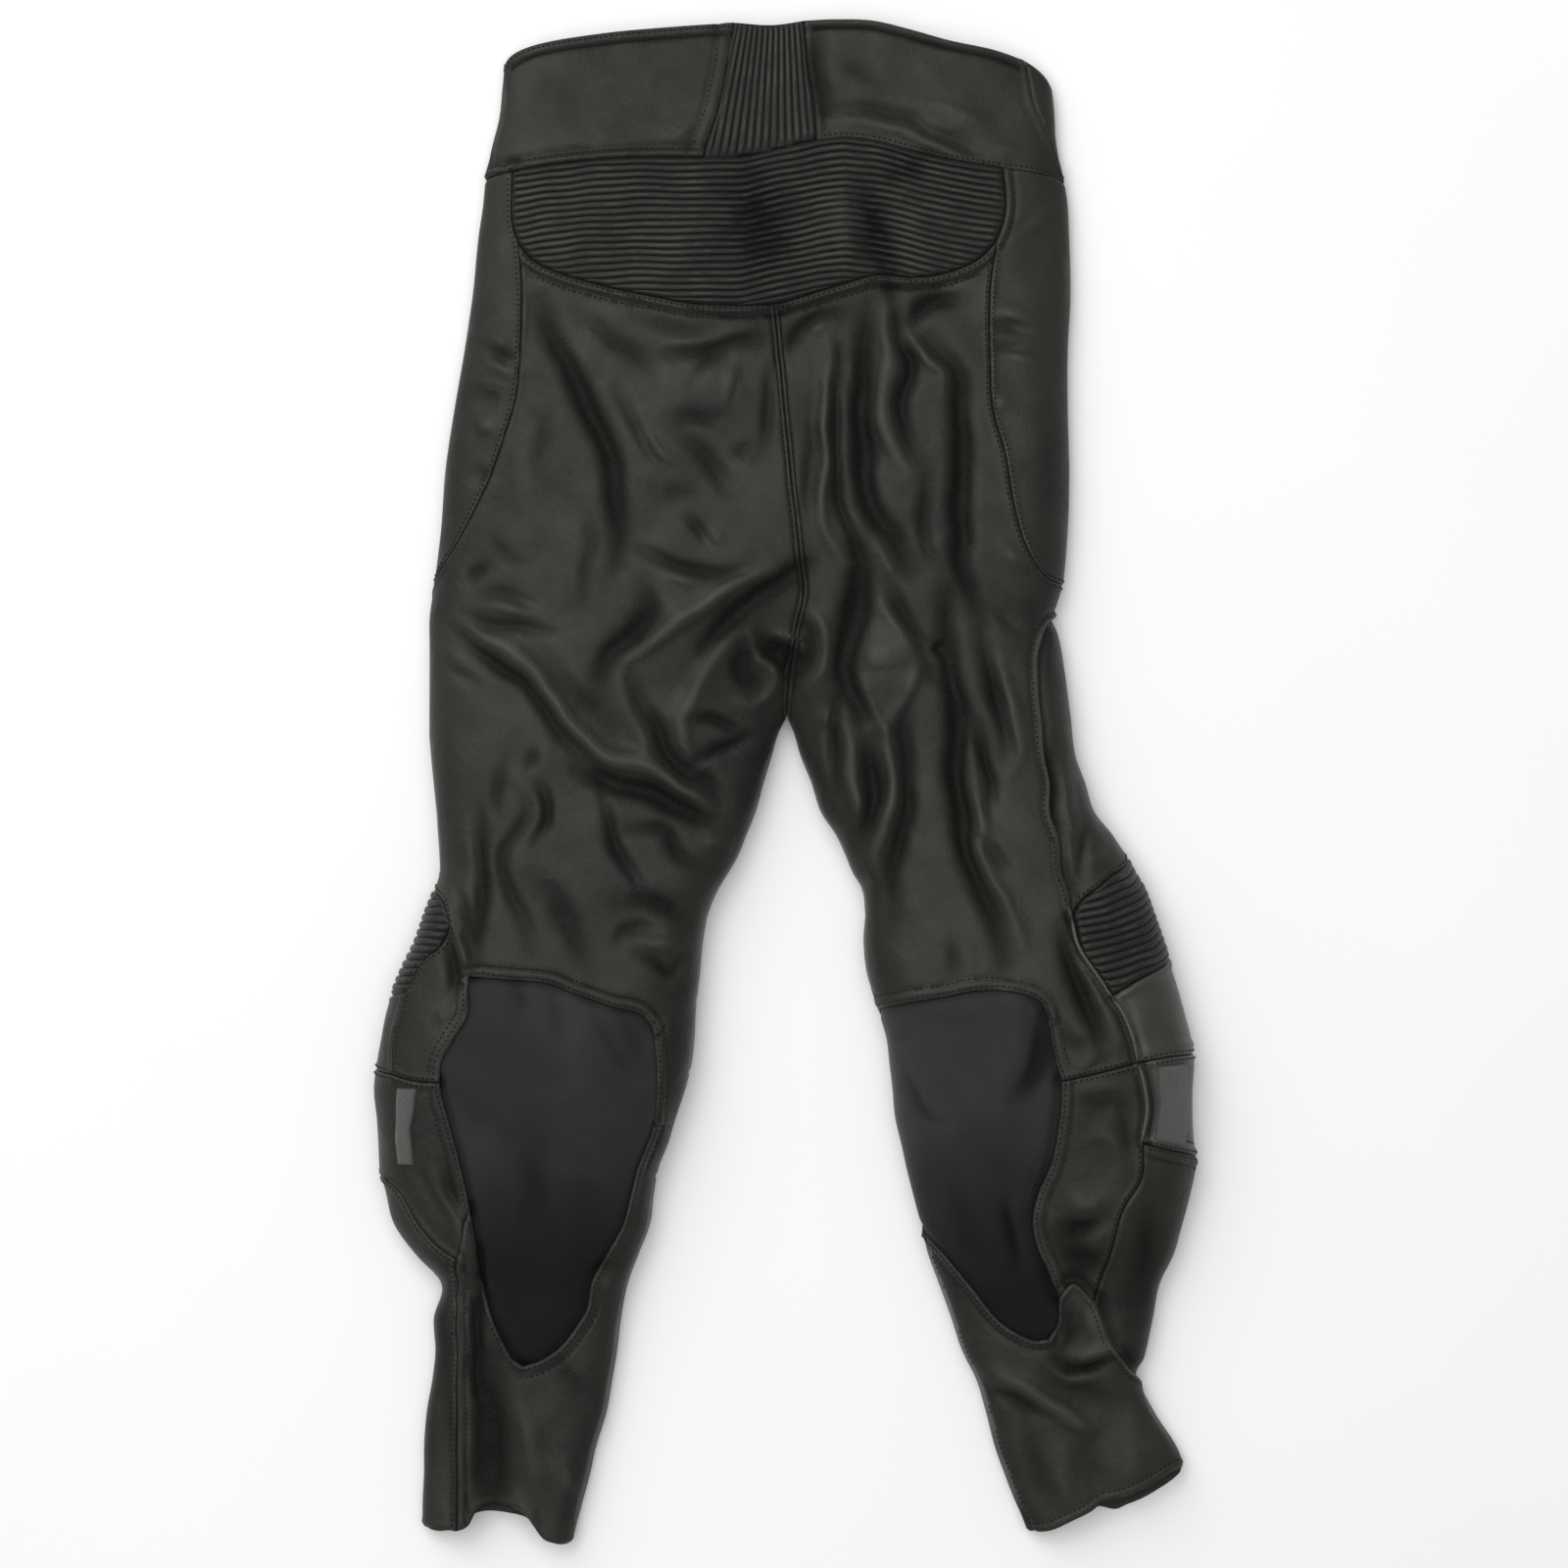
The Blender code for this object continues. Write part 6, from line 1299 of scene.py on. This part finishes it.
class Nodes:
    # Small helper to wire a material: add makes a node, feed joins a socket or sets its value,
    # shade does so for the inputs of the shader
    def __init__(self, name):
        self.material = bpy.data.materials.new(name)
        self.material.use_nodes = True
        self.tree = self.material.node_tree
        self.shader = self.tree.nodes["Principled BSDF"]
        self.coords = self.add("ShaderNodeTexCoord").outputs["Object"]

    def feed(self, socket, value):
        if isinstance(value, bpy.types.NodeSocket):
            self.tree.links.new(value, socket)
        elif isinstance(value, tuple):
            socket.default_value = (*value, 1.0)   # a colour
        else:
            socket.default_value = value

    def add(self, kind, settings=None, **inputs):
        node = self.tree.nodes.new(kind)
        for key, value in (settings or {}).items():
            setattr(node, key, value)
        for key, value in inputs.items():
            self.feed(node.inputs[key.replace("_", " ")], value)
        return node

    def shade(self, **inputs):
        for key, value in inputs.items():
            self.feed(self.shader.inputs[key.replace("_", " ")], value)
        return self.material

    def noise(self, scale, detail=3.0, rough=0.55, kind="FBM", bend=0.0):
        node = self.add("ShaderNodeTexNoise", {"noise_type": kind}, Vector=self.coords,
                        Scale=scale, Detail=detail, Roughness=rough, Distortion=bend)
        return node.outputs["Fac"]

    def span(self, value, fromLow, fromHigh, toLow, toHigh):
        return self.add("ShaderNodeMapRange", {"interpolation_type": "SMOOTHSTEP"}, Value=value,
                        From_Min=fromLow, From_Max=fromHigh, To_Min=toLow,
                        To_Max=toHigh).outputs["Result"]

    def times(self, a, b):
        node = self.add("ShaderNodeMath", {"operation": "MULTIPLY"})
        self.feed(node.inputs[0], a)
        self.feed(node.inputs[1], b)
        return node.outputs["Value"]

    def mix(self, factor, a, b):
        node = self.add("ShaderNodeMix", {"data_type": "RGBA"})
        self.feed(node.inputs["Factor"], factor)
        self.feed(node.inputs[6], a)
        self.feed(node.inputs[7], b)
        return node.outputs[2]

    def bump(self, height, distance, strength, under=None):
        node = self.add("ShaderNodeBump", Height=height, Distance=distance, Strength=strength)
        if under is not None:
            self.tree.links.new(under, node.inputs["Normal"])
        return node.outputs["Normal"]

    def mark(self, label):
        return self.add("ShaderNodeAttribute", {"attribute_name": label}).outputs["Fac"]


def leatherFinish(name, look):
    # Aniline cow leather: mottled near black, pebbled grain, drawn creases, greyer seams rubbed by
    # wear, painted shade in the fold troughs and rib valleys, and painted highlight on the ridges
    # and rib tops
    n = Nodes(name)
    mottle = n.noise(9.0, 4.0, 0.6, bend=0.6)
    colour = n.mix(n.span(mottle, 0.35, 0.68, 0.0, 1.0), look["dark"], look["light"])
    colour = n.mix(n.span(n.noise(27.0, 3.0, 0.5, bend=0.8), 0.42, 0.72, 0.0, 0.5), colour,
                   look["light"])
    gap = n.mark("gap")
    wornSpots = n.span(n.noise(140.0, 3.0), 0.42, 0.66, 0.25, 1.0)
    worn = n.times(n.span(gap, 1.0, 3.6, look["wear"], 0.0), wornSpots)
    colour = n.mix(worn, colour, look["worn"])
    fold = n.mark("fold")
    # Paler on the ridges of folds and raised rolls: partly rubbed wear, partly painted highlight
    colour = n.mix(n.span(fold, 0.8, 3.4, 0.0, 0.45), colour, look["worn"])
    # Painted shade: darker in the troughs of the folds
    colour = n.mix(n.span(fold, -4.6, -0.3, 0.85, 0.0), colour, (0.0012, 0.0012, 0.0011))
    grainy = n.noise(620.0, 2.0, 0.7)
    colour = n.mix(n.span(grainy, 0.35, 0.7, 0.0, 0.35), colour, look["light"])
    groove = n.span(gap, 0.1, 1.1, 0.92, 0.0)
    colour = n.mix(groove, colour, (0.0015, 0.0015, 0.0015))
    if look.get("ribbed"):
        # Painted shade in the valleys between the ribs and painted highlight along their tops
        crest = n.mark("crest")
        colour = n.mix(n.span(crest, 0.05, 0.45, 0.0, 1.0), (0.003, 0.003, 0.003), colour)
        lines = n.times(n.span(crest, 0.88, 1.0, 0.0, 1.0),
                        n.span(n.noise(70.0), 0.4, 0.62, 0.0, 0.4))
        colour = n.mix(lines, colour, look["worn"])
    rough = n.span(n.noise(26.0, 4.0, 0.6), 0.3, 0.7, *look["rough"])
    # Painted shade on the reflection: less specular in the troughs of the folds
    shine = n.span(fold, -4.6, 0.6, 0.3 * look["specular"], look["specular"])
    pucker = n.times(n.noise(240.0, 2.0), n.span(gap, 0.5, 7.0, 1.0, 0.0))
    normal = n.bump(n.noise(38.0, 4.0, 0.55, bend=1.2), 0.0016, look["drawn"])
    normal = n.bump(n.noise(130.0, 3.0, 0.6, "RIDGED_MULTIFRACTAL", 0.8), 0.0005,
                    look["creased"], normal)
    normal = n.bump(pucker, 0.0007, 0.5, normal)
    grain = n.add("ShaderNodeTexVoronoi", {"feature": "SMOOTH_F1"}, Vector=n.coords,
                  Scale=look["grain"], Smoothness=0.35, Randomness=0.9).outputs["Distance"]
    normal = n.bump(grain, 0.00022, look["pebble"], normal)
    return n.shade(Base_Color=colour, Roughness=rough, Specular_IOR_Level=shine,
                   Specular_Tint=(1.0, 1.0, 0.93), Sheen_Weight=0.05, Sheen_Roughness=0.5,
                   Normal=normal)


def stretchFinish(name, look):
    # Matte knitted stretch cloth, greenish black: two crossed fine wales over soft mottling, with
    # painted shade towards the bottom of the leg and in the fold troughs
    n = Nodes(name)
    mottle = n.noise(11.0, 3.0, 0.5, bend=0.4)
    colour = n.mix(n.span(mottle, 0.34, 0.68, 0.0, 1.0), look["dark"], look["light"])
    fibre = n.span(n.noise(1700.0, 2.0), 0.3, 0.75, 0.0, 0.5)
    colour = n.mix(fibre, colour, look["fibre"])
    # Painted shade: darker towards the bottom of the leg and in the troughs of the folds, with less
    # specular and sheen there too
    along = n.add("ShaderNodeSeparateXYZ", Vector=n.coords).outputs["Y"]
    shaded = n.times(n.span(along, -0.36, -0.2, 0.36, 1.0),
                     n.span(n.mark("fold"), -4.5, 0.0, 0.4, 1.0))
    colour = n.mix(shaded, (0.0022, 0.0028, 0.0027), colour)
    colour = n.mix(n.span(n.mark("gap"), 0.0, 1.4, 0.8, 0.0), colour, (0.003, 0.0035, 0.0035))
    waves = []
    for direction in ("X", "Y"):
        wave = n.add("ShaderNodeTexWave", {"wave_type": "BANDS", "bands_direction": direction},
                     Vector=n.coords, Scale=look["wale"], Distortion=1.2, Detail=1.0)
        waves.append(wave.outputs["Fac"])
    normal = n.bump(n.noise(36.0, 3.0, bend=0.8), 0.0012, 0.35)
    normal = n.bump(n.times(waves[0], waves[1]), 0.0003, 0.7, normal)
    return n.shade(Base_Color=colour, Roughness=n.span(fibre, 0.0, 0.5, 0.78, 0.95),
                   Specular_IOR_Level=n.times(shaded, 0.24), Sheen_Weight=n.times(shaded, 0.2),
                   Sheen_Roughness=0.45, Normal=normal)


def loopFinish(name, look):
    # Loop pile: a mat of small curled threads, darker between them and at its sewn rim
    n = Nodes(name)
    curls = n.noise(950.0, 3.0, 0.7, bend=2.2)
    colour = n.mix(n.span(curls, 0.36, 0.62, 0.0, 1.0), look["dark"], look["light"])
    patches = n.span(n.noise(34.0, 3.0), 0.36, 0.62, 0.0, 0.8)
    colour = n.mix(patches, colour, look["flattened"])
    colour = n.mix(n.span(n.mark("gap"), 0.0, 1.6, 0.8, 0.0), colour, (0.01, 0.01, 0.01))
    return n.shade(Base_Color=colour, Roughness=n.span(curls, 0.3, 0.7, 0.98, 0.8),
                   Sheen_Weight=0.2, Normal=n.bump(curls, 0.0009, 0.9))


def threadFinish(name, look):
    # Twisted polyester thread: dark, a little shinier than the hide, with a fine twist
    n = Nodes(name)
    twist = n.add("ShaderNodeTexWave", {"bands_direction": "DIAGONAL"}, Vector=n.coords,
                  Scale=look["twist"], Distortion=0.6).outputs["Fac"]
    return n.shade(Base_Color=n.mix(twist, look["dark"], look["light"]),
                   Roughness=n.span(twist, 0.0, 1.0, 0.8, 0.65), Specular_IOR_Level=0.2,
                   Normal=n.bump(twist, 0.0001, 0.6))


def tableFinish(name):
    # Matt off-white paint, faintly clouded
    n = Nodes(name)
    return n.shade(Base_Color=n.mix(n.noise(3.0, 2.0), (0.86, 0.86, 0.86), (0.89, 0.89, 0.89)),
                   Roughness=0.9)


# Charts that panels are laid flat in: tube, whether it counts on to the underside, and mm per
# radian
charts = {"trunk": (0, False, 200.0), "trunkFar": (0, True, 200.0), "left": (1, False, 108.0),
          "right": (2, False, 108.0), "rightFar": (2, True, 108.0)}
topFolds = [(height * cloth["foldRise"], max(4.4, width * cloth["foldSpread"]),
             softLine(spots, 6.0)) for height, width, spots in backFolds]
lowFolds = [(height, width, softLine(spots, 12.0)) for height, width, spots in underFolds]
seamLines = {name: seamPoints(*spec) for name, spec in seams.items()}
seamPlaces = {name: surface(line) for name, line in seamLines.items()}
print("seams:", len(seamLines), "with", sum(len(line) for line in seamLines.values()), "points")

panels = {node: {**plainPanel, "shape": [], **panel} for node, panel in panels.items()}

# Ribs: a pitch in mm and the line they follow, as angle round the tube and y
yokePitch, kneePitch, waistCount = 4.9, 5.3, 14
yokeSpots = np.array([(x, y, 1.0) for x, y in waistSeam])
panels["yoke_ribs"]["ribs"] = crossRibs(
    "trunk", [(float(a), y - yokePitch / 2) for a, y in zip(angleOf(0, yokeSpots),
                                                            yokeSpots[:, 1])], yokePitch)
panels["waist_ribs"]["ribs"] = uprightRibs(
    [(-57, 432), (-36, 525.5)], [(22, 444), (17, 491), (13, 527)], waistCount)
panels["knee_ribs_left"]["ribs"] = crossRibs(
    "left", [(-math.pi, -121), (0, -109), (0.8, -109)], kneePitch)
panels["knee_ribs_right"]["ribs"] = crossRibs(
    "rightFar", [(1.8, -112), (math.pi, -86), (2 * math.pi, -115)], kneePitch)

finishes = {
    # Each leather's pale colour serves as rubbed wear at the seams and as painted highlight on
    # ridges and rib tops
    "leather": leatherFinish("leather", {
        "dark": (0.0044, 0.0046, 0.0042), "light": (0.0152, 0.0150, 0.0122),
        "worn": (0.046, 0.045, 0.040), "wear": 0.45, "rough": (0.46, 0.62),
        "specular": 0.29, "grain": 820.0, "pebble": 0.6, "creased": 0.4, "drawn": 0.55}),
    # Smoother, lighter copy of the leather for the right knee cups and their piping: the smooth
    # grain is the knee leather's own, the lighter colour is painted highlight where the cup faces
    # the light
    "knee_leather": leatherFinish("kneeLeather", {
        "dark": (0.0140, 0.0140, 0.0126), "light": (0.0280, 0.0278, 0.0250),
        "worn": (0.075, 0.074, 0.068), "wear": 0.40, "rough": (0.40, 0.54),
        "specular": 0.46, "grain": 820.0, "pebble": 0.4, "creased": 0.2, "drawn": 0.3}),
    "ribbed_leather": leatherFinish("ribbedLeather", {
        "dark": (0.0048, 0.0048, 0.0043), "light": (0.0092, 0.0092, 0.0082),
        "worn": (0.050, 0.049, 0.045), "wear": 0.2, "rough": (0.46, 0.60),
        "specular": 0.28, "grain": 900.0, "pebble": 0.4, "creased": 0.25, "drawn": 0.25,
        "ribbed": True}),
    "stretch_fabric": stretchFinish("stretchCloth", {
        "dark": (0.0085, 0.0104, 0.0101), "light": (0.0205, 0.0238, 0.0229),
        "fibre": (0.031, 0.036, 0.034), "wale": 330.0}),
    "loop_fabric": loopFinish("loopPile", {
        "dark": (0.032, 0.031, 0.029), "light": (0.104, 0.101, 0.094),
        "flattened": (0.070, 0.068, 0.064)}),
}
threadLook = threadFinish("blackThread", {
    "dark": (0.002, 0.002, 0.002), "light": (0.008, 0.008, 0.0075), "twist": 900.0})

# Every row of stitches also pulls a shallow groove into its panel
stitchRows = {area: [(node, seam, offset) for node, lines in rows.items()
                     for seam, *offsets in lines for offset in offsets]
              for area, rows in stitchRows.items()}
for rows in stitchRows.values():
    for node, seam, offset in rows:
        panels[node]["shape"].append((seam, offset, -stitching["sunk"], stitching["spread"]))
for panel in panels.values():
    preparePanel(panel)

for node, panel in panels.items():
    words = node.split("_") if "_" in node else [node, "panel"]
    title = words[0] + "".join(word.capitalize() for word in words[1:])
    addPiece(title, buildPanel(title, panel), finishes[panel["finish"]])
    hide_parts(node)
    width, length, area, under = cuts[node]

for area, rows in stitchRows.items():
    addPiece("stitching" + area, sewRows("stitching" + area, rows), threadLook)

# Piped edges over the seams round the right knee
piping = {"radius": 1.4, "sunk": 0.4, "spacing": 2.5, "offset": 1.4}
cords = []
for node, seam in pipedSeams:
    place, out, _ = rowAlong(node, seam, piping["offset"], piping["spacing"])
    cords.append((place - piping["sunk"] * out, out))
addPiece("kneePiping", tubeAlong("kneePiping", cords, piping["radius"]),
         finishes["knee_leather"])

# Pale table, soft light and the camera straight above
reach = 6.0
tableMesh = bpy.data.meshes.new("table")
tableMesh.from_pydata([(-reach, -reach, 0), (reach, -reach, 0), (reach, reach, 0),
                       (-reach, reach, 0)], [], [(0, 1, 2, 3)])
tableMesh.materials.append(tableFinish("paleTable"))
addObject("table", tableMesh)

# Each lamp is turned to the middle: a tilt, then a turn about the vertical
lamps = {
    "overhead": {"at": (-0.4, 0.4, 4.3), "size": 5.0, "power": 136.0},
    "window": {"at": (-1.7, 2.1, 2.4), "size": 3.0, "power": 66.0},
}
for name, lamp in lamps.items():
    data = bpy.data.lights.new(name, "AREA")
    data.shape = "SQUARE"
    data.size = lamp["size"]
    data.energy = lamp["power"]
    lampObject = addObject(name, data)
    lampObject.location = lamp["at"]
    down = -np.array(lamp["at"])
    down /= np.linalg.norm(down)
    lampObject.rotation_euler = (math.acos(-down[2]), 0.0,
                                 math.atan2(down[1], down[0]) - math.pi / 2)

world = bpy.data.worlds.new("softSky")
world.use_nodes = True
sky = world.node_tree.nodes["Background"]
sky.inputs["Color"].default_value = (1.0, 1.0, 1.0, 1.0)
sky.inputs["Strength"].default_value = 0.36
bpy.context.scene.world = world
bpy.context.scene.view_settings.view_transform = "Standard"

view = {"at": (-0.0005, -0.0015, 3.033), "lens": 100.0, "film": 36.0, "farthest": 20.0}
lens = bpy.data.cameras.new("camera")
lens.lens = view["lens"]
lens.sensor_width = view["film"]
lens.clip_end = view["farthest"]
bpy.context.scene.camera = addObject("camera", lens)
bpy.context.scene.camera.location = view["at"]
